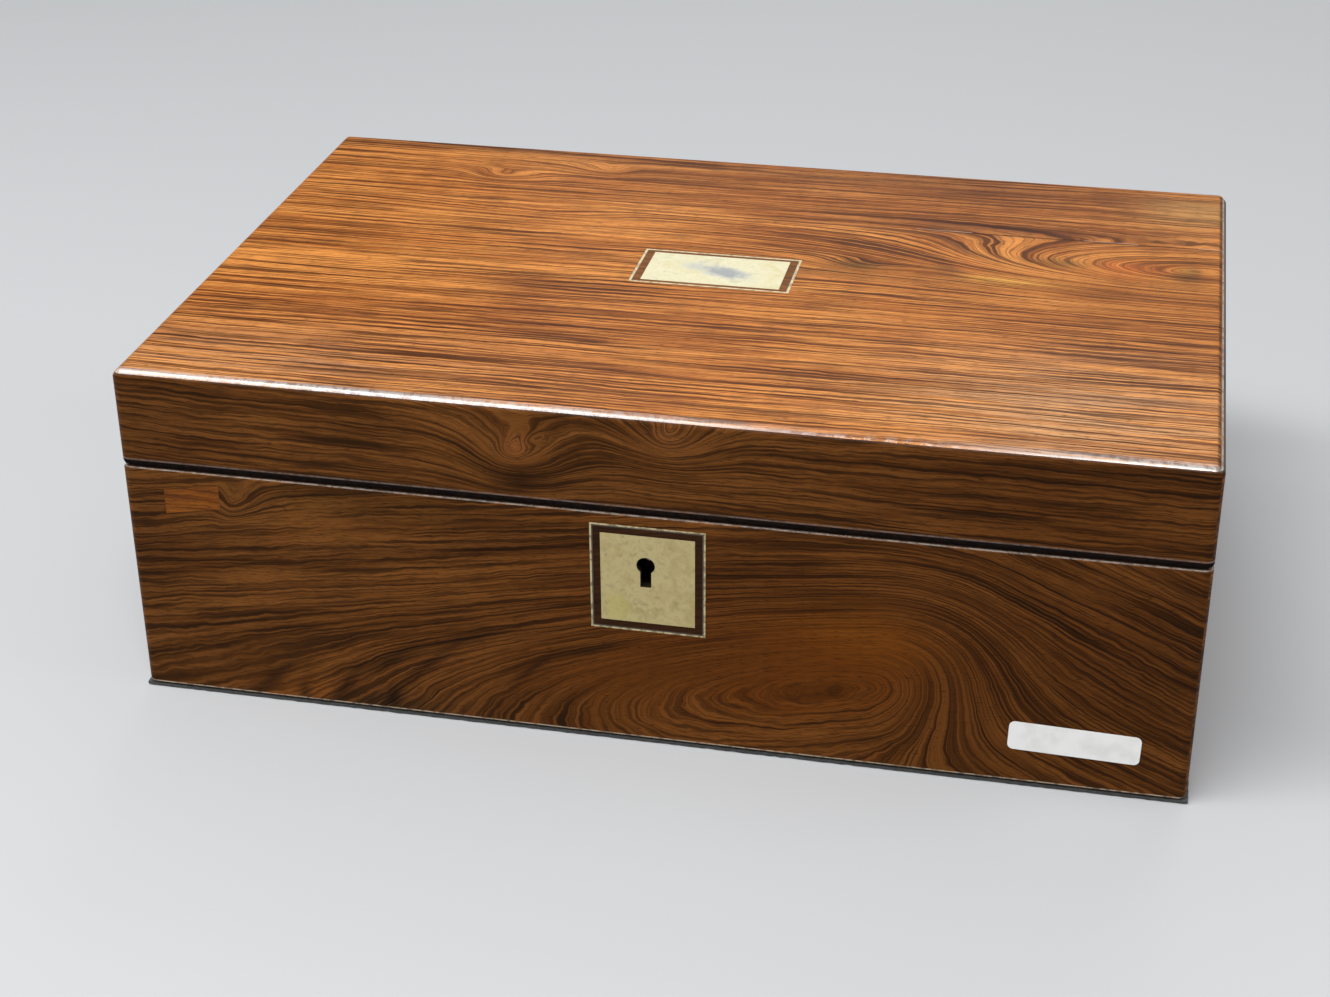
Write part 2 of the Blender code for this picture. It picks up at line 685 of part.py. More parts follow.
def leaf_outline(side, grow=0.0, open_end=None):
    """Section of a leaf and the knuckle it rolls round, side -1 below the seam and 1 above.
    With open_end the outline is a pocket that stays open away from its leaf."""
    radius = KNUCKLE_RADIUS + grow
    face = HALF_SEAM
    back = HALF_SEAM + HINGE_LEAF_THICKNESS + grow
    start = math.pi + math.asin(back / radius)
    tip = -HINGE_LEAF_WIDTH - grow
    if open_end is None:
        end = 3 * math.pi + math.asin(face / radius)
        points = [(tip, -back)] + arc((0, 0), radius, start, end, ROUND_SIDES)
        points.append((tip, -face))
    else:
        points = [(tip, -back)] + arc((0, 0), radius, start, 2 * math.pi, ROUND_SIDES // 2)
        points.append((radius, open_end))
        points.append((tip, open_end))
    return [(reach, -side * lift) for reach, lift in points]


def knuckle_spans(centre_x):
    """Start and end along X of each knuckle of one hinge."""
    length = HINGE_LENGTH / KNUCKLE_COUNT
    first = centre_x - HINGE_LENGTH / 2
    return [(first + n * length, first + (n + 1) * length) for n in range(KNUCKLE_COUNT)]


def hinge_leaf(name, centre_x, side, parent):
    """One leaf: a full-length section, cut away where the other leaf's knuckles are."""
    bore = arc((0, 0), KNUCKLE_BORE_RADIUS, 0, 2 * math.pi * (SMALL_SIDES - 1) / SMALL_SIDES,
               SMALL_SIDES - 1)
    low = centre_x - HINGE_LENGTH / 2
    mesh = prism_mesh(name, [leaf_outline(side), bore], low, low + HINGE_LENGTH, "X")
    leaf = add_piece(name, mesh, "brass", parent, True)
    spans = knuckle_spans(centre_x)
    for number, (start, end) in enumerate(spans):
        own = number % 2 == (0 if side < 0 else 1)
        if own:
            continue
        start -= OVERRUN if number == 0 else GLUE_GAP / 2
        end += OVERRUN if number == KNUCKLE_COUNT - 1 else GLUE_GAP / 2
        room = KNUCKLE_RADIUS + GLUE_GAP
        cutter_name = f"{name}_gap_{number}"
        gap = box_mesh(cutter_name, (start, -room, -room), (end, room, room))
        boolean(leaf, add_cutter(cutter_name, gap, parent))
    for number, step in enumerate((-1, 0, 1), 1):
        screw_x = centre_x + step * HINGE_SCREW_SPACING
        screw_y = -HINGE_LEAF_WIDTH + HINGE_SCREW_SETBACK
        hole_name = f"{name}_screw_hole_{number}"
        hole = cylinder_mesh(hole_name, HINGE_SCREW_RADIUS, (screw_x, screw_y, -OVERRUN),
                             (screw_x, screw_y, OVERRUN))
        boolean(leaf, add_cutter(hole_name, hole, parent))
    smooth(leaf)
    return leaf


def hinge_pocket(name, centre_x, side, parent, pieces):
    """Let a hinge into a rim: the leaf's bed and the round room for its knuckles."""
    low = centre_x - HINGE_LENGTH / 2 - GLUE_GAP
    outline = leaf_outline(side, GLUE_GAP, KNUCKLE_RADIUS + OVERRUN)
    mesh = prism_mesh(name, [outline], low, low + HINGE_LENGTH + 2 * GLUE_GAP, "X")
    pocket = add_cutter(name, mesh, parent)
    for piece in pieces:
        boolean(piece, pocket)


for hand, hinge_x in (("left", -HINGE_OFFSET_X), ("right", HINGE_OFFSET_X)):
    hinge_leaf(f"hinge_{hand}_base_leaf", hinge_x, -1, BASE_SLOPE)
    hinge_leaf(f"hinge_{hand}_lid_leaf", hinge_x, 1, LID_SLOPE)
    pin_name = f"hinge_{hand}_pin"
    pin = cylinder_mesh(pin_name, HINGE_PIN_RADIUS, (hinge_x - HINGE_LENGTH / 2, 0, 0),
                        (hinge_x + HINGE_LENGTH / 2, 0, 0))
    smooth(add_piece(pin_name, pin, "iron", BASE_SLOPE, True))
    hinge_pocket(f"hinge_{hand}_base_pocket", hinge_x, -1, BASE_SLOPE,
                 (BASE_BOARDS["back"], BASE_VENEERS["back"]))
    hinge_pocket(f"hinge_{hand}_lid_pocket", hinge_x, 1, LID_SLOPE,
                 (LID_BOARDS["back"], LID_VENEERS["back"]))

# Box lock in the front wall: plate, case, sliding bolt, spring, key pin and screws
LOCK_FRONT_Y = FRONT_INNER_Y - LOCK_DEPTH
PLATE_BACK_Y = FRONT_INNER_Y
PLATE_FRONT_Y = PLATE_BACK_Y - LOCK_PLATE_THICKNESS
HALF_LOCK = LOCK_WIDTH / 2
HALF_CASE = CASE_WIDTH / 2
SELVEDGE_BACK = -HALF_SEAM - SELVEDGE_THICKNESS
BOLT_Y = LOCK_FRONT_Y + LINK_SETBACK + LINK_WIDTH / 2
LINK_CENTRES = (-LINK_SPACING / 2, LINK_SPACING / 2)


def plate_outline(top_lift, grow=0.0):
    """Section of the lock plate: the selvedge on the rim and the plate down the inside."""
    front = LOCK_FRONT_Y - grow
    web = PLATE_FRONT_Y - grow
    under = SELVEDGE_BACK - grow
    return [
        (front, slope_z(front, top_lift)),
        (front, slope_z(front, under)),
        (web, slope_z(web, under)),
        (web, LOCK_BOTTOM_Z - grow),
        (PLATE_BACK_Y + (OVERRUN if grow else 0), LOCK_BOTTOM_Z - grow),
        (PLATE_BACK_Y + (OVERRUN if grow else 0), slope_z(PLATE_BACK_Y, top_lift)),
    ]


LOCK_PLATE = add_piece(
    "lock_plate",
    prism_mesh("lock_plate", [plate_outline(-HALF_SEAM)], -HALF_LOCK, HALF_LOCK, "X"),
    "brass")
LOCK_BED = add_cutter("lock_plate_bed", prism_mesh(
    "lock_plate_bed", [plate_outline(OVERRUN, GLUE_GAP)], -HALF_LOCK - GLUE_GAP,
    HALF_LOCK + GLUE_GAP, "X"))
FRONT_BOARD = BASE_BOARDS["front"]
boolean(FRONT_BOARD, LOCK_BED)

CASE_BACK_Y = PLATE_FRONT_Y - GLUE_GAP


def case_mesh():
    """The lock's case: a box open to the plate behind it and to the selvedge above."""
    mesh = box_mesh("lock_case", (-HALF_CASE, LOCK_FRONT_Y, CASE_BOTTOM_Z),
                    (HALF_CASE, CASE_BACK_Y, CASE_TOP_Z))
    bm = bmesh.new()
    bm.from_mesh(mesh)
    opened = [face for face in bm.faces if max(face.normal.y, face.normal.z) > FACING]
    bmesh.ops.delete(bm, geom=opened, context="FACES")
    bm.to_mesh(mesh)
    bm.free()
    return mesh


LOCK_CASE = add_piece("lock_case", case_mesh(), "brass")
WALLS = LOCK_CASE.modifiers.new("case_wall", "SOLIDIFY")
WALLS.thickness = CASE_WALL
WALLS.offset = -1
WALLS.use_even_offset = True
CASE_BED = box_mesh(
    "lock_case_bed",
    (-HALF_CASE - GLUE_GAP, LOCK_FRONT_Y - GLUE_GAP, CASE_BOTTOM_Z - GLUE_GAP),
    (HALF_CASE + GLUE_GAP, PLATE_BACK_Y, SEAM_FRONT_HEIGHT + OVERRUN))
boolean(FRONT_BOARD, add_cutter("lock_case_bed", CASE_BED))
KEYWAY_CUTTER = add_cutter("keyway", prism_mesh(
    "keyway", [keyhole(GLUE_GAP)], FRONT_Y + VENEER / 2, LOCK_FRONT_Y + CASE_WALL + OVERRUN / 2,
    "Y"))
boolean(FRONT_BOARD, KEYWAY_CUTTER)
boolean(LOCK_CASE, KEYWAY_CUTTER)

KEY_PIN = add_piece(
    "lock_key_pin",
    cylinder_mesh("lock_key_pin", KEY_PIN_RADIUS,
                  (KEYHOLE_X, PLATE_FRONT_Y - GLUE_GAP, KEYHOLE_Z),
                  (KEYHOLE_X, PLATE_FRONT_Y - GLUE_GAP - KEY_PIN_REACH, KEYHOLE_Z)),
    "iron")
smooth(KEY_PIN)

SLOT_MIDDLE_Z = BOLT_BAR_BOTTOM_Z + BOLT_BAR_HEIGHT / 2
STUDS = [STUD_OFFSET_X + side * STUD_SPACING / 2 for side in (-1, 1)]
STUD_ROOM = STUD_RADIUS + GLUE_GAP
for number, stud_x in enumerate(STUDS, 1):
    stud_name = f"bolt_stud_{number}"
    stud = cylinder_mesh(
        stud_name, STUD_RADIUS, (stud_x, PLATE_FRONT_Y + LOCK_PLATE_THICKNESS / 2, SLOT_MIDDLE_Z),
        (stud_x, PLATE_FRONT_Y - STUD_REACH, SLOT_MIDDLE_Z))
    boolean(LOCK_PLATE, add_cutter(stud_name, stud), "UNION")


def bolt_outline():
    """The bolt seen from the front: a bar with two hooked prongs and a talon for the key."""
    eye_z = slope_z(BOLT_Y, -LINK_EYE_DROP)
    prong_top = eye_z + PRONG_HEIGHT / 2
    prong_low = eye_z - PRONG_HEIGHT / 2
    bar_top = BOLT_BAR_BOTTOM_Z + BOLT_BAR_HEIGHT
    hooks = []
    for centre in LINK_CENTRES:
        link_face = centre - LINK_THICKNESS / 2
        riser_right = link_face - BOLT_THROW - PRONG_SPARE
        hooks.append((riser_right - RISER_WIDTH, riser_right, link_face - PRONG_REST_GAP))
    left = hooks[0][0]
    right = STUDS[1] + STUD_ROOM + BOLT_END_MARGIN
    points = [(left, BOLT_BAR_BOTTOM_Z)]
    talon_left = KEYHOLE_X - TALON_WIDTH / 2
    talon_right = KEYHOLE_X + TALON_WIDTH / 2
    points.append((talon_left, BOLT_BAR_BOTTOM_Z))
    points.append((talon_left, BOLT_BAR_BOTTOM_Z + TALON_DEPTH))
    points.append((talon_right, BOLT_BAR_BOTTOM_Z + TALON_DEPTH))
    points.append((talon_right, BOLT_BAR_BOTTOM_Z))
    points.append((right, BOLT_BAR_BOTTOM_Z))
    points.append((right, bar_top))
    for riser_left, riser_right, tip in reversed(hooks):
        points.append((riser_right, bar_top))
        points.append((riser_right, prong_low))
        points.append((tip, prong_low))
        points.append((tip, prong_top))
        points.append((riser_left, prong_top))
        if riser_left > left:
            points.append((riser_left, bar_top))
    return points


def stud_slot(stud_x):
    """The slot that lets the bolt slide on a stud by its throw."""
    left = stud_x - STUD_ROOM - BOLT_THROW
    right = stud_x + STUD_ROOM
    middle = (left + right) / 2
    return rectangle(middle, SLOT_MIDDLE_Z, right - left, 2 * STUD_ROOM)


BOLT = add_piece(
    "lock_bolt",
    prism_mesh("lock_bolt", [bolt_outline()] + [stud_slot(x) for x in STUDS],
               BOLT_Y - BOLT_THICKNESS / 2, BOLT_Y + BOLT_THICKNESS / 2, "Y"),
    "brass")


def spring_outline():
    """A bent strip from the case's left wall up to the bolt's lower edge."""
    start_x = -HALF_CASE + CASE_WALL + GLUE_GAP
    top = BOLT_BAR_BOTTOM_Z - GLUE_GAP
    radius = (SPRING_LENGTH ** 2 + SPRING_DROP ** 2) / (2 * SPRING_DROP)
    sweep = math.asin(SPRING_LENGTH / radius)
    centre = (start_x + SPRING_LENGTH, top - radius)
    outer = arc(centre, radius, math.pi / 2 + sweep, math.pi / 2 - sweep / 2)
    inner = arc(centre, radius - SPRING_THICKNESS, math.pi / 2 - sweep / 2, math.pi / 2 + sweep)
    return outer + inner


SPRING = add_piece(
    "lock_spring",
    prism_mesh("lock_spring", [spring_outline()], BOLT_Y - SPRING_WIDTH / 2,
               BOLT_Y + SPRING_WIDTH / 2, "Y"),
    "iron")
smooth(SPRING)


def countersunk_screw(name, head, direction, parent=None, in_parent_frame=False):
    """A flat-headed screw, and the tool that makes its hole in what it holds."""
    head = Vector(head)
    direction = Vector(direction).normalized()
    neck = head + direction * SCREW_HEAD_HEIGHT
    tip = head + direction * SCREW_LENGTH
    mesh = cylinder_mesh(name, SCREW_HEAD_RADIUS, head, neck, SMALL_SIDES, SCREW_SHANK_RADIUS)
    shank = cylinder_mesh(name + "_shank", SCREW_SHANK_RADIUS * math.cos(math.pi / SMALL_SIDES),
                          neck - direction * SCREW_HEAD_HEIGHT / 2, tip)
    piece = add_piece(name, mesh, "iron", parent, in_parent_frame)
    boolean(piece, add_cutter(name + "_shank", shank, parent if in_parent_frame else None),
            "UNION")
    sink = cylinder_mesh(name + "_hole", SCREW_HEAD_RADIUS + 2 * GLUE_GAP,
                         head - direction * GLUE_GAP, neck, SMALL_SIDES,
                         SCREW_SHANK_RADIUS + GLUE_GAP)
    drill = cylinder_mesh(name + "_drill", SCREW_SHANK_RADIUS + GLUE_GAP, head,
                          tip + direction * GLUE_GAP)
    frame = parent if in_parent_frame else None
    return [add_cutter(name + "_sink", sink, frame), add_cutter(name + "_drill", drill, frame)]


for hand, side in (("left", -1), ("right", 1)):
    tools = countersunk_screw(
        f"lock_screw_{hand}",
        (side * (HALF_LOCK - LOCK_SCREW_INSET), PLATE_BACK_Y,
         LOCK_BOTTOM_Z + LOCK_SCREW_DROP),
        (0, -1, 0))
    for tool in tools:
        boolean(LOCK_PLATE, tool)
        boolean(FRONT_BOARD, tool)

# Link plate let into the rim of the lid's front wall, and its two links
LINK_NEAR = along(LOCK_FRONT_Y)
LINK_FAR = along(PLATE_BACK_Y) - GLUE_GAP
LINK_PLATE_LIFT = HALF_SEAM + SELVEDGE_THICKNESS
LINK_PLATE = add_piece(
    "link_plate",
    box_mesh("link_plate", (-HALF_LOCK, LINK_NEAR, HALF_SEAM),
             (HALF_LOCK, LINK_FAR, LINK_PLATE_LIFT)),
    "brass", LID_SLOPE, True)
LINK_MIDDLE = along(BOLT_Y + LINK_EYE_DROP * math.sin(SLOPE))


def link_outline():
    """One link seen from the side: a tongue with a round end and an eye for the prong."""
    half = LINK_WIDTH / 2
    end = arc((LINK_MIDDLE, -LINK_LENGTH + half), half, 0, -math.pi)
    root = HALF_SEAM + SELVEDGE_THICKNESS / 2
    return [(LINK_MIDDLE - half, root), (LINK_MIDDLE + half, root)] + end


EYE = rectangle(LINK_MIDDLE, -LINK_EYE_DROP, LINK_EYE_WIDTH, LINK_EYE_HEIGHT)
for number, link_x in enumerate(LINK_CENTRES, 1):
    link_name = f"link_{number}"
    low = link_x - LINK_THICKNESS / 2
    link = prism_mesh(link_name, [link_outline(), EYE], low, low + LINK_THICKNESS, "X")
    boolean(LINK_PLATE, add_cutter(link_name, link, LID_SLOPE), "UNION")
    way_name = f"link_way_{number}"
    way = box_mesh(
        way_name,
        (low - LINK_SIDE_ROOM, LINK_MIDDLE - LINK_WIDTH / 2 - LINK_SIDE_ROOM,
         SELVEDGE_BACK - OVERRUN / 2),
        (low + LINK_THICKNESS + LINK_SIDE_ROOM,
         LINK_MIDDLE + LINK_WIDTH / 2 + LINK_SWING_ROOM, OVERRUN))
    boolean(LOCK_PLATE, add_cutter(way_name, way, BASE_SLOPE))
LINK_BED = add_cutter("link_plate_bed", box_mesh(
    "link_plate_bed", (-HALF_LOCK - GLUE_GAP, LINK_NEAR - GLUE_GAP, -OVERRUN),
    (HALF_LOCK + GLUE_GAP, LINK_FAR + GLUE_GAP + OVERRUN, LINK_PLATE_LIFT + GLUE_GAP)), LID_SLOPE)
boolean(LID_BOARDS["front"], LINK_BED)
for hand, side in (("left", -1), ("right", 1)):
    tools = countersunk_screw(
        f"link_plate_screw_{hand}",
        (side * (HALF_LOCK - LOCK_SCREW_INSET), (LINK_NEAR + LINK_FAR) / 2, HALF_SEAM),
        (0, 0, 1), LID_SLOPE, True)
    for tool in tools:
        boolean(LINK_PLATE, tool)
        boolean(LID_BOARDS["front"], tool)


# Fittings inside the base
FIT_HALF_WIDTH = INNER_HALF_WIDTH - GLUE_GAP
WELL_FRONT_Y = FRONT_INNER_Y + GLUE_GAP
WELL_BACK_Y = FRONT_INNER_Y + PEN_WELL_DEPTH
STAND_Z = BASE_FLOOR_Z + GLUE_GAP
RAIL_FRONT_Y = WELL_BACK_Y
RAIL_STEP_Y = RAIL_FRONT_Y + RAIL_THICKNESS
RAIL_BACK_Y = RAIL_STEP_Y + LEDGE_WIDTH
BACK_FACE_Y = INNER_HALF_DEPTH - GLUE_GAP
BACK_STEP_Y = BACK_FACE_Y - LEDGE_WIDTH
BACK_LEDGE_Y = BACK_STEP_Y - LEDGE_WIDTH
FLAP_FRONT_Y = RAIL_STEP_Y + FLAP_GAP
FLAP_REAR_Y = BACK_STEP_Y - FLAP_GAP


def rail_piece(name, outline, kind, parent=None):
    """A rail across the box between the side walls."""
    return add_piece(
        name, prism_mesh(name, [outline], -FIT_HALF_WIDTH, FIT_HALF_WIDTH, "X"), kind, parent)


rail_piece("pen_well_rail", [
    (RAIL_FRONT_Y, STAND_Z),
    (RAIL_BACK_Y, STAND_Z),
    (RAIL_BACK_Y, slope_z(RAIL_BACK_Y, -LEDGE_TOP)),
    (RAIL_STEP_Y, slope_z(RAIL_STEP_Y, -LEDGE_TOP)),
    (RAIL_STEP_Y, slope_z(RAIL_STEP_Y, -RAIL_SINK)),
    (RAIL_FRONT_Y, slope_z(RAIL_FRONT_Y, -RAIL_SINK)),
], "carcass_wood")


def ledge_outline(wall_y, step_y, edge_y, side, wall_lift):
    """A rebated ledge glued to a wall: the flap rests on its step, side -1 below the seam."""
    return [
        (wall_y, slope_z(wall_y, side * wall_lift)),
        (step_y, slope_z(step_y, side * wall_lift)),
        (step_y, slope_z(step_y, side * LEDGE_TOP)),
        (edge_y, slope_z(edge_y, side * LEDGE_TOP)),
        (edge_y, slope_z(edge_y, side * LEDGE_BACK)),
        (wall_y, slope_z(wall_y, side * LEDGE_BACK)),
    ]


rail_piece("base_back_ledge",
           ledge_outline(BACK_FACE_Y, BACK_STEP_Y, BACK_LEDGE_Y, -1, FLAP_TOP), "carcass_wood")


def flap(part, front_y, side, parent, leather_front_y):
    """A writing flap and the leather on it, which runs on over the back ledge as its hinge."""
    half = FIT_HALF_WIDTH - FLAP_GAP
    lifts = sorted((side * FLAP_TOP, side * FLAP_BACK))
    board_name = f"{part}_flap_board"
    board = box_mesh(board_name, (-half, along(front_y), lifts[0]),
                     (half, along(FLAP_REAR_Y), lifts[1]))
    piece = add_piece(board_name, board, "rosewood_front", parent, True)
    ease(piece)
    lifts = sorted((side * LEATHER_TOP, side * LEATHER_BACK))
    half -= LEATHER_MARGIN
    leather_name = f"{part}_flap_leather"
    leather = box_mesh(leather_name, (-half, along(leather_front_y), lifts[0]),
                       (half, along(BACK_FACE_Y) - FLAP_GAP, lifts[1]))
    add_piece(leather_name, leather, "leather", parent, True)


flap("base", FLAP_FRONT_Y, -1, BASE_SLOPE, FLAP_FRONT_Y + LEATHER_MARGIN)

# Pen tray between two rebated partitions, with an ink well on each side
PARTITION_OUTER_X = FIT_HALF_WIDTH - INK_WELL_WIDTH
PARTITION_STEP_X = PARTITION_OUTER_X - (PARTITION_THICKNESS - PARTITION_SHOULDER)
PARTITION_INNER_X = PARTITION_OUTER_X - PARTITION_THICKNESS
SHOULDER_Z = PEN_TRAY_BOTTOM_Z - GLUE_GAP
WELL_REAR_Y = WELL_BACK_Y - GLUE_GAP
for hand, side in (("left", -1), ("right", 1)):
    section = [
        (side * PARTITION_INNER_X, STAND_Z),
        (side * PARTITION_OUTER_X, STAND_Z),
        (side * PARTITION_OUTER_X, PARTITION_TOP_Z),
        (side * PARTITION_STEP_X, PARTITION_TOP_Z),
        (side * PARTITION_STEP_X, SHOULDER_Z),
        (side * PARTITION_INNER_X, SHOULDER_Z),
    ]
    name = f"ink_well_partition_{hand}"
    add_piece(name, prism_mesh(name, [section], WELL_FRONT_Y, WELL_REAR_Y, "Y"), "carcass_wood")

TRAY_HALF_WIDTH = PARTITION_STEP_X - GLUE_GAP
TRAY_TOP_Z = PEN_TRAY_BOTTOM_Z + PEN_TRAY_HEIGHT
PEN_TRAY = add_piece(
    "pen_tray",
    box_mesh("pen_tray", (-TRAY_HALF_WIDTH, WELL_FRONT_Y, PEN_TRAY_BOTTOM_Z),
             (TRAY_HALF_WIDTH, WELL_REAR_Y, TRAY_TOP_Z)),
    "carcass_wood")
TROUGH = add_cutter("pen_trough", box_mesh(
    "pen_trough",
    (-TRAY_HALF_WIDTH + PEN_TRAY_RIM, WELL_FRONT_Y + PEN_TRAY_RIM, TRAY_TOP_Z - PEN_TROUGH_DEPTH),
    (TRAY_HALF_WIDTH - PEN_TRAY_RIM, WELL_REAR_Y - PEN_TRAY_RIM, TRAY_TOP_Z + PEN_TROUGH_DEPTH)))
SCOOP = TROUGH.modifiers.new("scooped", "BEVEL")
SCOOP.width = PEN_TROUGH_DEPTH * PEN_SCOOP_SHARE
SCOOP.segments = SCOOP_STEPS
SCOOP.limit_method = "NONE"
boolean(PEN_TRAY, TROUGH)


def turned(name, profile, centre, kind, parent=None):
    """A profile of (radius, height) from top to bottom, spun about an upright axis."""
    mesh = bpy.data.meshes.new(name)
    bm = bmesh.new()
    verts = [bm.verts.new((radius, 0, height)) for radius, height in profile]
    for first, second in zip(verts, verts[1:]):
        bm.edges.new((first, second))
    bm.to_mesh(mesh)
    bm.free()
    piece = add_piece(name, mesh, kind, parent)
    piece.location = centre
    spin = piece.modifiers.new("turned", "SCREW")
    spin.steps = ROUND_SIDES
    spin.render_steps = ROUND_SIDES
    spin.use_merge_vertices = True
    spin.merge_threshold = SAME_PLACE
    spin.use_smooth_shade = True
    return piece


BOTTLE_Y = (WELL_FRONT_Y + WELL_REAR_Y) / 2
NECK_TOP_Z = SEAM_FRONT_HEIGHT - BOTTLE_TOP_DROP
BODY_TOP_Z = NECK_TOP_Z - BOTTLE_NECK_HEIGHT


def bottle(hand, centre_x):
    """A square glass ink bottle with a round neck, and its brass cap."""
    half = BOTTLE_WIDTH / 2
    inner = half - BOTTLE_WALL
    body_name = f"ink_bottle_{hand}"
    body = add_piece(
        body_name,
        box_mesh(body_name, (centre_x - half, BOTTLE_Y - half, STAND_Z),
                 (centre_x + half, BOTTLE_Y + half, BODY_TOP_Z)),
        "glass")
    ease(body, BOTTLE_EDGE)
    neck = cylinder_mesh(f"neck_{hand}", BOTTLE_NECK_RADIUS,
                         (centre_x, BOTTLE_Y, BODY_TOP_Z - BOTTLE_WALL / 2),
                         (centre_x, BOTTLE_Y, NECK_TOP_Z), ROUND_SIDES)
    boolean(body, add_cutter(f"neck_{hand}", neck), "UNION")
    hollow = box_mesh(f"hollow_{hand}",
                      (centre_x - inner, BOTTLE_Y - inner, STAND_Z + BOTTLE_WALL),
                      (centre_x + inner, BOTTLE_Y + inner, BODY_TOP_Z - BOTTLE_WALL))
    boolean(body, add_cutter(f"hollow_{hand}", hollow))
    bore = cylinder_mesh(f"neck_bore_{hand}", BOTTLE_NECK_BORE,
                         (centre_x, BOTTLE_Y, BODY_TOP_Z - 2 * BOTTLE_WALL),
                         (centre_x, BOTTLE_Y, NECK_TOP_Z + OVERRUN), ROUND_SIDES)
    boolean(body, add_cutter(f"neck_bore_{hand}", bore))
    inside = BOTTLE_NECK_RADIUS + GLUE_GAP
    ceiling = BOTTLE_NECK_HEIGHT + GLUE_GAP
    shoulder = ceiling + CAP_WALL
    profile = [(0, shoulder + CAP_DOME_HEIGHT)]
    for step in range(1, DOME_STEPS + 1):
        angle = math.pi / 2 * step / DOME_STEPS
        profile.append((CAP_RADIUS * math.sin(angle),
                        shoulder + CAP_DOME_HEIGHT * math.cos(angle)))
    profile.append((CAP_RADIUS, GLUE_GAP))
    profile.append((inside, GLUE_GAP))
    profile.append((inside, ceiling))
    profile.append((0, ceiling))
    turned(f"ink_bottle_cap_{hand}", profile, (centre_x, BOTTLE_Y, BODY_TOP_Z), "brass")


WELL_CENTRE_X = FIT_HALF_WIDTH - INK_WELL_WIDTH / 2
bottle("left", -WELL_CENTRE_X)
bottle("right", WELL_CENTRE_X)

# Fittings inside the lid: two ledges, its flap, and the turn button
LID_LEDGE_STEP_Y = WELL_FRONT_Y + LID_LEDGE_UPSTAND
LID_LEDGE_EDGE_Y = LID_LEDGE_STEP_Y + LEDGE_WIDTH
LID_FRONT_LEDGE = rail_piece(
    "lid_front_ledge",
    ledge_outline(WELL_FRONT_Y, LID_LEDGE_STEP_Y, LID_LEDGE_EDGE_Y, 1, LEATHER_TOP),
    "carcass_wood", LID_HINGE_AXIS)
rail_piece("lid_back_ledge",
           ledge_outline(BACK_FACE_Y, BACK_STEP_Y, BACK_LEDGE_Y, 1, FLAP_TOP),
           "carcass_wood", LID_HINGE_AXIS)
LID_FLAP_FRONT_Y = LID_LEDGE_STEP_Y + FLAP_GAP
flap("lid", LID_FLAP_FRONT_Y, 1, LID_SLOPE, LID_FLAP_FRONT_Y + LEATHER_MARGIN)

CATCH_HALF = CATCH_WIDTH / 2
CATCH_ALONG = along(WELL_FRONT_Y) + LID_LEDGE_UPSTAND / 2
CATCH_BORE = CATCH_SCREW_RADIUS + GLUE_GAP


def catch_outline():
    """A tongue with two round ends, its pivot at one of them."""
    return (arc((0, 0), CATCH_HALF, math.pi, 2 * math.pi)
            + arc((0, CATCH_REACH - CATCH_HALF), CATCH_HALF, 0, math.pi))


CATCH_HOLE = arc((0, 0), CATCH_BORE, 0, 2 * math.pi * (SMALL_SIDES - 1) / SMALL_SIDES,
                 SMALL_SIDES - 1)
CATCH = add_piece(
    "flap_catch",
    prism_mesh("flap_catch", [catch_outline(), CATCH_HOLE], -CATCH_THICKNESS, 0, "Z"),
    "brass", LID_SLOPE, True)
CATCH.location = (0, CATCH_ALONG, LEATHER_TOP - GLUE_GAP)
SCREW_LIFT = LEATHER_TOP - 2 * GLUE_GAP - CATCH_THICKNESS
CATCH_SCREW = add_piece(
    "flap_catch_screw",
    cylinder_mesh("flap_catch_screw", CATCH_SCREW_HEAD_RADIUS,
                  (0, CATCH_ALONG, SCREW_LIFT - CATCH_SCREW_HEAD_HEIGHT),
                  (0, CATCH_ALONG, SCREW_LIFT)),
    "brass", LID_SLOPE, True)
boolean(CATCH_SCREW, add_cutter("catch_screw_shank", cylinder_mesh(
    "catch_screw_shank", CATCH_SCREW_RADIUS,
    (0, CATCH_ALONG, SCREW_LIFT - CATCH_SCREW_HEAD_HEIGHT / 2),
    (0, CATCH_ALONG, SCREW_LIFT + CATCH_SCREW_LENGTH)), LID_SLOPE), "UNION")
boolean(LID_FRONT_LEDGE, add_cutter("catch_screw_hole", cylinder_mesh(
    "catch_screw_hole", CATCH_BORE, (0, CATCH_ALONG, -OVERRUN),
    (0, CATCH_ALONG, SCREW_LIFT + CATCH_SCREW_LENGTH + GLUE_GAP)), LID_SLOPE))
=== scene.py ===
"""Looks of a rosewood writing slope: its veneers, inlays, fittings, leathers and studio."""

import json
import logging
import math
from contextlib import contextmanager
from dataclasses import dataclass
from enum import Enum
from typing import Any, Callable, Iterator, Optional, Sequence, Union

import bmesh
import bpy
from mathutils import Euler, Matrix, Vector


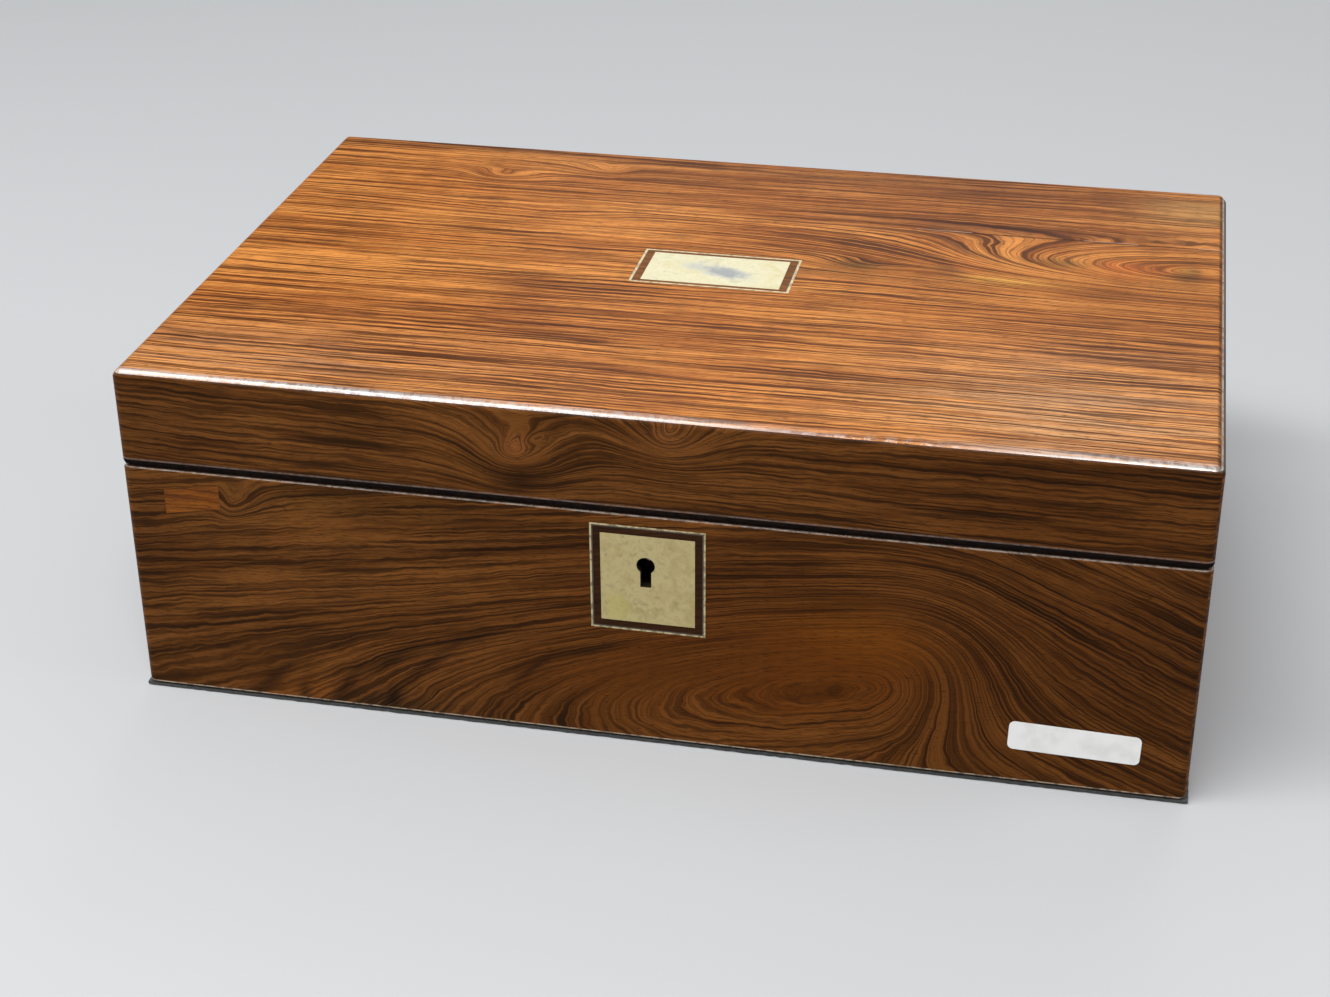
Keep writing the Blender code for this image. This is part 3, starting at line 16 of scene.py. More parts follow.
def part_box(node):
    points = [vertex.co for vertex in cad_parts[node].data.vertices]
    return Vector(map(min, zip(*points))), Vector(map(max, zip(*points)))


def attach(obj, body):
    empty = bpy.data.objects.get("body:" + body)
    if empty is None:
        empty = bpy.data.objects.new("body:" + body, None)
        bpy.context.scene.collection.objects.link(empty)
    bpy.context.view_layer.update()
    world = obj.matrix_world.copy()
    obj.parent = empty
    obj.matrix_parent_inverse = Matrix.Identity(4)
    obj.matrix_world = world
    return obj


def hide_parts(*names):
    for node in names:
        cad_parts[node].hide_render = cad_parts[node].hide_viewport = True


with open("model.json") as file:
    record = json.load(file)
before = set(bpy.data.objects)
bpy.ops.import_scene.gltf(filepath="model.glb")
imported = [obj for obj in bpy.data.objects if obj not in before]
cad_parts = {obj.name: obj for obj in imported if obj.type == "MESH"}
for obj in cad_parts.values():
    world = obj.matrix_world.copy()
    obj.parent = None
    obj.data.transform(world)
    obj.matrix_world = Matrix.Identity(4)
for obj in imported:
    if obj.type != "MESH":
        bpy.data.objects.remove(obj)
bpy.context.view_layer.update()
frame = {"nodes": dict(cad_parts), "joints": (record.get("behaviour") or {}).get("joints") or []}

LOG = logging.getLogger("writing_slope")
Colour = tuple[float, float, float]
Point = tuple[float, float, float]
HAIRLINE = 0.00004
OVERRUN = 0.002
SAME_PLACE = 0.00002
# Painted shade: near-black colour put on what is seen through the keyhole and on the cut walls of the
# pearl plates.
PAINTED_SHADE: Colour = (0.010, 0.0065, 0.0035)
PAINTED_SHADE_FADE = 0.05
SMOOTH_ANGLE = math.radians(40)


class Part(Enum):
    """What an edit-mode selection picks."""

    VERTS = ("VERT", "verts")
    EDGES = ("EDGE", "edges")


class Joinery(Enum):
    """What a tool does to the piece that it meets."""

    CUT = "DIFFERENCE"
    ADD = "UNION"
    KEEP = "INTERSECT"


class Side(Enum):
    """The four upright sides of the box: the quarter turns from the front, and its name."""

    FRONT = (0, "front")
    RIGHT = (1, "right")
    BACK = (2, "back")
    LEFT = (3, "left")


class Half(Enum):
    """The two halves of the box, named as the bodies that carry them."""

    BASE = "base"
    LID = "lid"


class Plane(Enum):
    """The plane in which a veneer's figure lies: the axes along and across its grain."""

    TOP = (0, 1)
    FRONT = (0, 2)
    SIDE = (1, 2)


class Workpiece:
    """One mesh on the bench, shaped with Blender's own modelling operators."""

    def __init__(self, thing: bpy.types.Object) -> None:
        """Take hold of an object."""
        self.thing = thing

    @classmethod
    def from_new(cls, name: str) -> "Workpiece":
        """Name the primitive that was just added and move its place into its mesh.

        Args:
            name: Its name.

        Returns:
            The piece, at the origin.
        """
        thing = bpy.context.object
        thing.name = name
        thing.data.name = name
        bpy.ops.object.transform_apply(location=True, rotation=True, scale=True)
        return cls(thing)

    @classmethod
    def block(cls, name: str, low: Sequence[float], high: Sequence[float]) -> "Workpiece":
        """Add a block between two corners.

        Args:
            name: Name of the piece.
            low: Its lowest corner.
            high: Its highest corner.

        Returns:
            The block, ready to be shaped.
        """
        lay_down_tools()
        low, high = Vector(low), Vector(high)
        bpy.ops.mesh.primitive_cube_add(size=1, location=(low + high) / 2, scale=high - low)
        return cls.from_new(name)

    @classmethod
    def grid(cls, name: str, cells: tuple[int, int], size: tuple[float, float],
             centre: Sequence[float]) -> "Workpiece":
        """Add a flat sheet of many cells.

        Args:
            name: Name of the piece.
            cells: Number of cells along and across.
            size: Its length and breadth.
            centre: Its middle point.

        Returns:
            The sheet, ready to be given its thickness.
        """
        lay_down_tools()
        bpy.ops.mesh.primitive_grid_add(
            x_subdivisions=cells[0], y_subdivisions=cells[1], size=1, location=(0, 0, 0))
        piece = cls.from_new(name)
        with piece.editing():
            bpy.ops.mesh.select_all(action="SELECT")
            bpy.ops.transform.resize(value=(*size, 1), center_override=(0, 0, 0))
            bpy.ops.transform.translate(value=centre)
        return piece

    @classmethod
    def turned(cls, name: str, profile: Sequence[tuple[float, float]],
               sides: int = 64) -> "Workpiece":
        """Turn a piece on the Z axis: a disc is drawn out and resized point by point.

        Args:
            name: Name of the piece.
            profile: Radius and height of each ring, from one end to the other.
            sides: Number of flats round it.

        Returns:
            The closed piece, ready to be placed.
        """
        lay_down_tools()
        radius, height = profile[0]
        bpy.ops.mesh.primitive_circle_add(
            vertices=sides, radius=radius, fill_type="NGON", location=(0, 0, height))
        piece = cls.from_new(name)
        with piece.editing():
            bpy.ops.mesh.select_mode(type="FACE")
            bpy.ops.mesh.select_all(action="SELECT")
            for (old, low), (new, high) in zip(profile, profile[1:]):
                bpy.ops.mesh.extrude_region_move(
                    TRANSFORM_OT_translate={"value": (0, 0, high - low)})
                share = new / old
                bpy.ops.transform.resize(value=(share, share, 1), center_override=(0, 0, high))
            bpy.ops.mesh.select_all(action="SELECT")
            bpy.ops.mesh.normals_make_consistent(inside=False)
        return piece

    def take(self) -> None:
        """Make this the one selected and active object."""
        lay_down_tools()
        self.thing.select_set(True)
        bpy.context.view_layer.objects.active = self.thing

    @contextmanager
    def editing(self) -> Iterator[None]:
        """Work in edit mode with nothing selected, and leave it afterwards."""
        self.take()
        bpy.ops.object.mode_set(mode="EDIT")
        bpy.ops.mesh.select_all(action="DESELECT")
        yield
        bpy.ops.object.mode_set(mode="OBJECT")

    def pick(self, part: Part, test: Callable[[Any], bool]) -> None:
        """Select the elements that a test picks, in edit mode.

        Args:
            part: The kind of element.
            test: Says whether one element is wanted.
        """
        mode, group = part.value
        bpy.ops.mesh.select_mode(type=mode)
        bpy.ops.mesh.select_all(action="DESELECT")
        mesh = bmesh.from_edit_mesh(self.thing.data)
        for item in getattr(mesh, group):
            if test(item):
                item.select_set(True)
        mesh.select_flush_mode()
        bmesh.update_edit_mesh(self.thing.data)

    def saw(self, point: Sequence[float], waste: Sequence[float]) -> "Workpiece":
        """Cut along a plane, drop one side and close the cut.

        Args:
            point: A point on the plane.
            waste: The direction in which everything is dropped.

        Returns:
            The same piece.
        """
        with self.editing():
            bpy.ops.mesh.select_all(action="SELECT")
            bpy.ops.mesh.bisect(plane_co=point, plane_no=waste, use_fill=True, clear_outer=True)
        return self

    def round_edges(self, test: Callable[[Any], bool], radius: float, steps: int,
                    fullness: float = 0.5) -> "Workpiece":
        """Round the edges that a test picks.

        Args:
            test: Says whether one edge is wanted.
            radius: Radius of the rounding.
            steps: Number of flats in it.
            fullness: Half for a quarter round, less for a flatter one.

        Returns:
            The same piece.
        """
        with self.editing():
            self.pick(Part.EDGES, test)
            bpy.ops.mesh.bevel(offset=radius, segments=steps, profile=fullness,
                               affect="EDGES", clamp_overlap=True)
        return self

    def modify(self, kind: str, **settings: Any) -> "Workpiece":
        """Add a modifier and apply it to the mesh.

        Args:
            kind: The modifier's type.
            settings: Its settings by name.

        Returns:
            The same piece.
        """
        modifier = self.thing.modifiers.new(kind.lower(), kind)
        for key, setting in settings.items():
            setattr(modifier, key, setting)
        self.take()
        bpy.ops.object.modifier_apply(modifier=modifier.name)
        return self

    def wrinkle(self, size: float, layers: int, height: float) -> "Workpiece":
        """Push the surface in and out in soft lumps.

        Args:
            size: Size of a lump.
            layers: Number of finer layers of lumps.
            height: How far apart the deepest and the highest point may lie.

        Returns:
            The same piece.
        """
        lumps = bpy.data.textures.new(f"{self.thing.name}_lumps", "CLOUDS")
        lumps.noise_scale = size
        lumps.noise_depth = layers
        return self.modify("DISPLACE", texture=lumps, texture_coords="LOCAL", strength=height,
                           mid_level=0.5)

    def join(self, tool: "Workpiece", how: Joinery = Joinery.CUT) -> "Workpiece":
        """Cut this piece with another one or add it, and use that one up.

        Args:
            tool: The other piece.
            how: What it does.

        Returns:
            The same piece.
        """
        self.modify("BOOLEAN", operation=how.value, solver="EXACT", object=tool.thing)
        bpy.data.objects.remove(tool.thing, do_unlink=True)
        return self

    def copy(self, name: str) -> "Workpiece":
        """Return a copy with a mesh of its own.

        Args:
            name: The copy's name.

        Returns:
            The copy.
        """
        thing = self.thing.copy()
        thing.data = self.thing.data.copy()
        thing.name = name
        bpy.context.scene.collection.objects.link(thing)
        return Workpiece(thing)

    def place(self, matrix: Matrix) -> "Workpiece":
        """Move the mesh by a matrix, with the object left at the origin.

        Args:
            matrix: Where it goes.

        Returns:
            The same piece.
        """
        self.thing.matrix_world = matrix
        self.take()
        bpy.ops.object.transform_apply(location=True, rotation=True, scale=True)
        return self

    def shade(self) -> "Workpiece":
        """Shade round parts smooth while flat faces stay flat.

        Returns:
            The same piece.
        """
        self.take()
        bpy.ops.object.shade_smooth_by_angle(angle=SMOOTH_ANGLE)
        return self.modify("WEIGHTED_NORMAL", keep_sharp=True)

    def finish(self, material: bpy.types.Material, body: str, slot: str,
               *nodes: str) -> bpy.types.Object:
        """Dress the piece and hand it to the body that carries it.

        Args:
            material: Its material.
            body: The body that it rides on.
            slot: The record's material slot; not used.
            nodes: The nodes of the model that it stands for.

        Returns:
            The finished object.
        """
        self.thing.data.materials.clear()
        self.thing.data.materials.append(material)
        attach(self.thing, body)
        if nodes:
            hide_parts(*nodes)
        LOG.info("made %s", self.thing.name)
        return self.thing


def is_upright(edge: Any) -> bool:
    """Pick an upright edge."""
    return (edge.verts[0].co.xy - edge.verts[1].co.xy).length < SAME_PLACE


def lay_down_tools() -> None:
    """Leave edit mode and select nothing."""
    if bpy.context.mode != "OBJECT":
        bpy.ops.object.mode_set(mode="OBJECT")
    bpy.ops.object.select_all(action="DESELECT")


@dataclass(frozen=True)
class BoxShape:
    """Outer form of the closed box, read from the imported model, in metres."""

    half_width: float
    half_depth: float
    height: float
    wood_bottom: float
    hinge: Vector
    slope: float
    seam_gap: float = 0.0005
    veneer: float = 0.0015
    corner_radius: float = 0.0030
    top_radius: float = 0.0028
    seam_arris: float = 0.0007
    lid_arris: float = 0.0018
    foot_arris: float = 0.0006

    @classmethod
    def from_frame(cls) -> "BoxShape":
        """Read the sizes from the model's boxes and joints.

        Returns:
            The box's form.
        """
        joints = {joint["name"]: joint for joint in frame["joints"]}
        upright = joints["catch_turn"]["axis"]
        front_low, front_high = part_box("base_front_veneer")
        return cls(
            half_width=(front_high.x - front_low.x) / 2,
            half_depth=-front_low.y,
            height=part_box("lid_top_veneer")[1].z,
            wood_bottom=front_low.z,
            hinge=Vector(joints["lid_hinge"]["pos_m"]),
            slope=math.atan2(upright[1], upright[2]),
        )

    @property
    def seam_normal(self) -> Vector:
        """Direction square to the seam, upwards."""
        return Vector((0, math.sin(self.slope), math.cos(self.slope)))

    def seam_point(self, lift: float) -> Vector:
        """Return a point of the plane that lies lift above the seam's middle."""
        return self.hinge + self.seam_normal * lift


class Value:
    """A number in a shader. Arithmetic on it adds Math nodes."""

    def __init__(self, sheet: "ShaderSheet", socket: bpy.types.NodeSocket) -> None:
        """Wrap an output socket of a sheet."""
        self.sheet = sheet
        self.socket = socket

    def _math(self, operation: str, *values: "Number") -> "Value":
        """Add one Math node."""
        return self.sheet.math(operation, *values)

    def __add__(self, other: "Number") -> "Value":
        """Return self + other."""
        return self._math("ADD", self, other)

    __radd__ = __add__

    def __sub__(self, other: "Number") -> "Value":
        """Return self - other."""
        return self._math("SUBTRACT", self, other)

    def __rsub__(self, other: "Number") -> "Value":
        """Return other - self."""
        return self._math("SUBTRACT", other, self)

    def __mul__(self, other: "Number") -> "Value":
        """Return self * other."""
        return self._math("MULTIPLY", self, other)

    __rmul__ = __mul__

    def __truediv__(self, other: "Number") -> "Value":
        """Return self / other."""
        return self._math("DIVIDE", self, other)

    def __rtruediv__(self, other: "Number") -> "Value":
        """Return other / self."""
        return self._math("DIVIDE", other, self)

    def __pow__(self, other: "Number") -> "Value":
        """Return self to a power."""
        return self._math("POWER", self, other)

    def __abs__(self) -> "Value":
        """Return its size without its sign."""
        return self._math("ABSOLUTE", self)

    def exp(self) -> "Value":
        """Return e to this power."""
        return self._math("EXPONENT", self)

    def at_least(self, other: "Number") -> "Value":
        """Return the larger of the two."""
        return self._math("MAXIMUM", self, other)

    def at_most(self, other: "Number") -> "Value":
        """Return the smaller of the two."""
        return self._math("MINIMUM", self, other)

    def step(self, low: float, high: float) -> "Value":
        """Rise smoothly from 0 to 1 between two values, or fall where high is below low.

        Args:
            low: Where it leaves one end.
            high: Where it reaches the other.

        Returns:
            A value from 0 to 1.
        """
        flip = high < low
        ends = (high, low) if flip else (low, high)
        node = self.sheet.node(
            "ShaderNodeMapRange", {"interpolation_type": "SMOOTHSTEP", "clamp": True},
            {"Value": self, "From Min": ends[0], "From Max": ends[1],
             "To Min": 1.0 if flip else 0.0, "To Max": 0.0 if flip else 1.0})
        return Value(self.sheet, node.outputs["Result"])


Number = Union[float, Value]


class ShaderSheet:
    """A material under construction: its nodes, made by a few short calls."""

    def __init__(self, name: str) -> None:
        """Start an empty material with one Principled shader.

        Args:
            name: The material's name.
        """
        self.material = bpy.data.materials.new(name)
        self.material.use_nodes = True
        self.tree = self.material.node_tree
        self.tree.nodes.clear()
        self.shader = self.node("ShaderNodeBsdfPrincipled", {}, {})
        self.node("ShaderNodeOutputMaterial", {}, {"Surface": self.shader.outputs["BSDF"]})
        self.place = self.node("ShaderNodeTexCoord", {}, {}).outputs["Object"]

    def node(self, kind: str, settings: dict[str, Any], sockets: dict[Any, Any]) -> bpy.types.Node:
        """Add a node.

        Args:
            kind: The node's type.
            settings: Its own settings, set first; stops are those of a colour ramp.
            sockets: Values or links of its inputs, by name or number.

        Returns:
            The new node.
        """
        node = self.tree.nodes.new(kind)
        for key, setting in settings.items():
            if key == "stops":
                self._set_stops(node.color_ramp, setting)
            else:
                setattr(node, key, setting)
        self.feed(node, sockets)
        return node

    def feed(self, node: bpy.types.Node, sockets: dict[Any, Any]) -> None:
        """Link or set inputs of a node, by name or number.

        Args:
            node: The node.
            sockets: Its values or links.
        """
        for key, value in sockets.items():
            if isinstance(value, Value):
                value = value.socket
            if isinstance(value, bpy.types.NodeSocket):
                self.tree.links.new(value, node.inputs[key])
            else:
                node.inputs[key].default_value = value

    @staticmethod
    def _set_stops(ramp: bpy.types.ColorRamp, stops: Sequence[tuple[float, Colour]]) -> None:
        """Give a ramp its stops.

        Args:
            ramp: The ramp.
            stops: Place and colour of each.
        """
        while len(ramp.elements) > 1:
            ramp.elements.remove(ramp.elements[0])
        for number, (position, colour) in enumerate(stops):
            element = ramp.elements.new(position) if number else ramp.elements[0]
            element.position = position
            element.color = (*colour, 1)

    def math(self, operation: str, *values: Number) -> Value:
        """Return the result of one Math node on numbers or values."""
        node = self.node("ShaderNodeMath", {"operation": operation}, dict(enumerate(values)))
        return Value(self, node.outputs[0])

    def axes(self) -> tuple[Value, Value, Value]:
        """Return the three coordinates of the place."""
        split = self.node("ShaderNodeSeparateXYZ", {}, {0: self.place})
        return tuple(Value(self, output) for output in split.outputs)

    def places(self, plane: Plane) -> tuple[Value, Value, Value]:
        """Return the places along the grain, across it and square to a plane.

        Args:
            plane: The plane.

        Returns:
            The three places.
        """
        axes = self.axes()
        along, across = plane.value
        return axes[along], axes[across], axes[3 - along - across]

    def vector(self, x: Number, y: Number, z: Number) -> bpy.types.NodeSocket:
        """Return a vector made of three numbers."""
        return self.node("ShaderNodeCombineXYZ", {}, {0: x, 1: y, 2: z}).outputs[0]

    def noise(self, where: bpy.types.NodeSocket, scale: float, detail: float = 2.0,
              roughness: float = 0.5, distortion: float = 0.0) -> Value:
        """Return smooth noise.

        Args:
            where: The place that is read.
            scale: Number of lumps in a metre.
            detail: Number of finer layers.
            roughness: How strong they are.
            distortion: How far the lumps are pulled about.

        Returns:
            A value about 0.5.
        """
        node = self.node("ShaderNodeTexNoise", {"noise_dimensions": "3D"}, {
            "Vector": where, "Scale": scale, "Detail": detail, "Roughness": roughness,
            "Distortion": distortion})
        return Value(self, node.outputs[0])

    def cells(self, where: bpy.types.NodeSocket, scale: float) -> Value:
        """Return the distance to the nearest cell's centre."""
        node = self.node("ShaderNodeTexVoronoi", {}, {"Vector": where, "Scale": scale})
        return Value(self, node.outputs["Distance"])

    def ramp(self, value: Number, stops: Sequence[tuple[float, Colour]]) -> bpy.types.NodeSocket:
        """Return a colour picked from stops."""
        return self.node("ShaderNodeValToRGB", {"stops": stops}, {0: value}).outputs["Color"]

    def mix(self, factor: Number, first: Any, second: Any, blend: str = "MIX") -> bpy.types.NodeSocket:
        """Return a mix of two colours.

        Args:
            factor: Share of the second.
            first: A colour or a colour socket.
            second: A colour or a colour socket.
            blend: How the second lies on the first.

        Returns:
            The mixed colour.
        """
        colours = [value if isinstance(value, bpy.types.NodeSocket) else (*value, 1)
                   for value in (first, second)]
        node = self.node(
            "ShaderNodeMix", {"data_type": "RGBA", "blend_type": blend, "clamp_factor": True},
            {0: factor, 6: colours[0], 7: colours[1]})
        return node.outputs[2]

    def bump(self, height: Value, depth: float,
             under: Optional[bpy.types.NodeSocket] = None) -> bpy.types.NodeSocket:
        """Return a normal bent by a height field.

        Args:
            height: The field, from 0 to 1.
            depth: Its full height in metres.
            under: A normal that it lies on.

        Returns:
            The bent normal.
        """
        sockets = {"Height": height, "Distance": depth, "Strength": 1.0}
        if under is not None:
            sockets["Normal"] = under
        return self.node("ShaderNodeBump", {}, sockets).outputs["Normal"]

    def close(self, varying: dict[str, Any], fixed: dict[str, Any]) -> bpy.types.Material:
        """Set the shader's sockets.

        Args:
            varying: Links or values that change over the surface.
            fixed: Numbers that don't.

        Returns:
            The finished material.
        """
        self.feed(self.shader, {**varying, **fixed})
        return self.material


@dataclass(frozen=True)
class Swell:
    """A place that the grain lines bend round, in metres in the veneer's plane.

    Attributes:
        along, across: Its middle.
        reach_before, reach_after: How far it reaches along the grain on either side.
        reach_across: How far it reaches across the grain.
        rise: How far it lifts the grain lines, or how much a calm spot hushes them.
        tilt: How steeply it leans, positive where it rises to the right.
    """

    along: float
    across: float
    reach_before: float
    reach_after: float
    reach_across: float
    rise: float = 0.0
    tilt: float = 0.0

    def field(self, u: Value, v: Value) -> Value:
        """Return 1 at the middle, falling to 0 around it.

        Args:
            u: Place along the grain.
            v: Place across it.

        Returns:
            The strength of the swell there.
        """
        du = u - self.along
        scaled = du.at_least(0.0) / self.reach_after + du.at_most(0.0) / self.reach_before
        dv = (v - self.across - du * self.tilt) / self.reach_across
        return ((scaled * scaled + dv * dv) * -1.0).exp()


@dataclass(frozen=True)
class Stain:
    """A patch of other colour in the wood."""

    shape: Swell
    colour: Colour
    strength: float


def make_swells(*rows: Sequence[float]) -> tuple[Swell, ...]:
    """Return a swell for each row of its numbers."""
    return tuple(Swell(*row) for row in rows)


def make_stains(*rows: tuple[Sequence[float], Colour, float]) -> tuple[Stain, ...]:
    """Return a stain for each row: the numbers of its shape, its colour and its strength."""
    return tuple(Stain(Swell(*shape), colour, strength) for shape, colour, strength in rows)


def dimmed(colour: Colour, share: float) -> Colour:
    """Return a colour with a share of its light."""
    return tuple(part * share for part in colour)


def paint_keyhole_shade(sheet: ShaderSheet, colour: Any, spot: Swell) -> bpy.types.NodeSocket:
    """Blacken what is seen through the keyhole: painted shade.

    Args:
        sheet: The material's nodes.
        colour: The clean colour.
        spot: Where the painted shade lies, in the plane of the front.

    Returns:
        The colour, black at the spot in the front half of the box only.
    """
    x, y, z = sheet.axes()
    at_front = (y * -1.0).step(0.0, PAINTED_SHADE_FADE)
    return sheet.mix((spot.field(x, z) * 3.0).at_most(1.0) * at_front * 0.96, colour, PAINTED_SHADE)


@dataclass(frozen=True)
class Bend:
    """A place past which the grain lines run off at a slant."""

    start: float
    slant: float
    softness: float

    def field(self, u: Value) -> Value:
        """Return what the bend adds to the grain's height at a place along it."""
        run = u - self.start
        return (run + (run * run + self.softness ** 2) ** 0.5) * (self.slant / 2)


@dataclass(frozen=True)
class Rim:
    """An edge painted paler or darker, worn or dirty on some and a painted highlight or painted shade on
    others: a plane through it, square to the way out of the face.
    """

    point: Point
    outwards: Point
    colour: Colour
    width: float
    strength: float
    gloss: float = 0.0
    broken: float = 0.7
    core: float = 0.35
    matt: bool = False
    quiet: Optional[Swell] = None


@dataclass(frozen=True)
class Panel:
    """A dark stained field behind an inlay, in the veneer's plane."""

    low: tuple[float, float]
    high: tuple[float, float]
    colour: Colour
    strength: float = 0.8
    edge: float = 0.0003

    def field(self, u: Value, v: Value) -> Value:
        """Return 1 inside the field and 0 outside.

        Args:
            u: Place along the grain.
            v: Place across it.

        Returns:
            Its strength there.
        """
        inside: Number = self.strength
        for value, low, high in ((u, self.low[0], self.high[0]), (v, self.low[1], self.high[1])):
            reach = abs(value - (low + high) / 2) * -1.0 + (high - low) / 2
            inside = reach.step(-self.edge, self.edge) * inside
        return inside


@dataclass(frozen=True)
class Rosewood:
    """Polished rosewood veneer with its figure, pores, worn edges, painted highlights and shade on its
    edges, and old varnish.
    """

    name: str
    plane: Plane
    light: Colour
    middle: Colour
    deep: Colour
    ink: Colour = (0.016, 0.008, 0.005)
    swells: tuple[Swell, ...] = ()
    bends: tuple[Bend, ...] = ()
    stains: tuple[Stain, ...] = ()
    tints: tuple[Stain, ...] = ()
    calms: tuple[Swell, ...] = ()
    rims: tuple[Rim, ...] = ()
    panels: tuple[Panel, ...] = ()
    drift: float = 0.0
    waviness: float = 0.0030
    lines: float = 1.0
    length: float = 1.0
    offset: float = 0.0
    gloss: float = 0.30
    coat: float = 0.02
    coat_roughness: float = 0.10
    specular: float = 0.05

    # Waves in the grain: how little they run along it, how fine, how rough and how high
    WAVES = ((0.35, 14.0, 1.0, 4.0), (0.5, 75.0, 2.0, 1.0), (0.7, 230.0, 1.0, 0.42))

    def grain_field(self, sheet: ShaderSheet, u: Value, v: Value) -> Value:
        """Return the coordinate whose level lines the grain follows.

        Args:
            sheet: The material's nodes.
            u: Place along the grain.
            v: Place across it.

        Returns:
            A length that grows across the grain.
        """
        height = v + u * self.drift
        for stretch, scale, detail, share in self.WAVES:
            wave = sheet.noise(sheet.vector(u * stretch, v, self.offset), scale, detail)
            height = height + (wave - 0.5) * (self.waviness * share)
        for swell in self.swells:
            height = height + swell.field(u, v) * swell.rise
        for bend in self.bends:
            height = height + bend.field(u)
        return height

    def material(self) -> bpy.types.Material:
        """Build the material.

        Returns:
            The material.
        """
        sheet = ShaderSheet(self.name)
        u, v, _ = sheet.places(self.plane)
        height = self.grain_field(sheet, u, v)

        def streaks(stretch: float, scale: float, detail: float, shift: float) -> Value:
            """Return noise drawn out along the grain."""
            where = sheet.vector(u * (stretch / self.length), height, self.offset + shift)
            return sheet.noise(where, scale, detail, 0.55)

        bands = streaks(0.055, 80.0, 2.0, 0.1)
        figure = streaks(0.038, 280.0, 2.0, 0.2)
        veins = streaks(0.022, 600.0, 1.0, 0.3)
        lines = streaks(0.022, 1150.0, 1.0, 0.4)
        fibres = streaks(0.050, 2700.0, 1.0, 0.5)
        pores = sheet.noise(sheet.vector(u * 0.07, v, self.offset + 0.6), 3800.0, 1.0, 0.4)
        cloud = sheet.noise(sheet.place, 19.0, 3.0, 0.6)

        tone = bands * 0.34 + figure * 0.26 + veins * 0.16 + cloud * 0.24
        colour = sheet.ramp(tone, ((0.41, self.deep), (0.485, self.middle), (0.565, self.light)))
        for stain in self.stains:
            mask = stain.shape.field(u, v) * (0.55 + figure * 0.9) * stain.strength
            colour = sheet.mix(mask.at_most(1.0), colour, stain.colour)
        glint = tuple(min(1.0, part * 1.25) for part in self.light)
        fine = lines.step(0.48, 0.38)
        pore = pores.step(0.37, 0.28)
        loud: Number = self.lines
        for calm in self.calms:
            loud = (1.0 - calm.field(u, v) * calm.rise) * loud
        for mask, over in (
                (figure.step(0.44, 0.33) * loud * 0.50, self.deep),
                (veins.step(0.54, 0.66) * loud * 0.45, self.light),
                (veins.step(0.47, 0.37) * loud * 0.66, self.ink),
                (fine * loud * 0.60, self.ink),
                (lines.step(0.54, 0.66) * loud * 0.45, glint),
                (fibres.step(0.50, 0.36) * (0.40 * self.lines), self.ink),
                (pore * 0.8, self.ink)):
            colour = sheet.mix(mask, colour, over)
        for tint in self.tints:
            colour = sheet.mix(tint.shape.field(u, v) * tint.strength, colour, tint.colour,
                               "MULTIPLY")
        for panel in self.panels:
            colour = sheet.mix(panel.field(u, v), colour, panel.colour)
        colour, shine, matt = self.edge_wear_and_light(sheet, colour, u, v)
        dirt = sheet.noise(sheet.place, 55.0, 4.0, 0.6)
        rough = self.gloss + dirt * 0.12 + pore * 0.2 - shine * 0.10 + matt * 0.6
        relief = 0.5 + fibres * 0.25 - fine * 0.25 - pore * 0.5
        normal = sheet.bump(sheet.noise(sheet.place, 38.0, 2.0), 0.00022)
        normal = sheet.bump(relief, 0.000035, normal)
        return sheet.close(
            {"Base Color": colour, "Roughness": rough.at_most(1.0), "Normal": normal,
             "Coat Weight": (shine + (1.0 - matt) * self.coat).at_most(1.0)},
            {"Coat Roughness": self.coat_roughness, "Specular IOR Level": self.specular})

    def edge_wear_and_light(self, sheet: ShaderSheet, colour: Any, u: Value,
                   v: Value) -> tuple[Any, Value, Value]:
        """Paint the edges: wear and dirt, painted highlights and painted shade, broken up by noise.

        Args:
            sheet: The material's nodes.
            colour: The wood's colour.
            u: Place along the grain.
            v: Place across it.

        Returns:
            The colour with its edges, where they shine and where they are matt under painted shade.
        """
        chips = sheet.noise(sheet.place, 420.0, 3.0, 0.7)
        spread = chips.step(0.40, 0.56)
        shine = matt = sheet.math("ADD", 0.0, 0.0)
        for rim in self.rims:
            outwards = Vector(rim.outwards)
            reach = outwards.dot(Vector(rim.point))
            dot = sheet.node("ShaderNodeVectorMath", {"operation": "DOT_PRODUCT"},
                             {0: sheet.place, 1: tuple(outwards)})
            gap = reach - Value(sheet, dot.outputs["Value"])
            near = gap.step(rim.width, rim.width * rim.core)
            if rim.quiet:
                near = near * (1.0 - rim.quiet.field(u, v) * (0.55 + spread * 0.45))
            mask = near * (spread * rim.broken + (1.0 - rim.broken))
            colour = sheet.mix(mask * rim.strength, colour, rim.colour)
            if rim.gloss:
                shine = shine.at_least(near * rim.gloss)
            if rim.matt:
                shine = shine * (1.0 - near)
                matt = matt.at_least(near)
        return colour, shine, matt


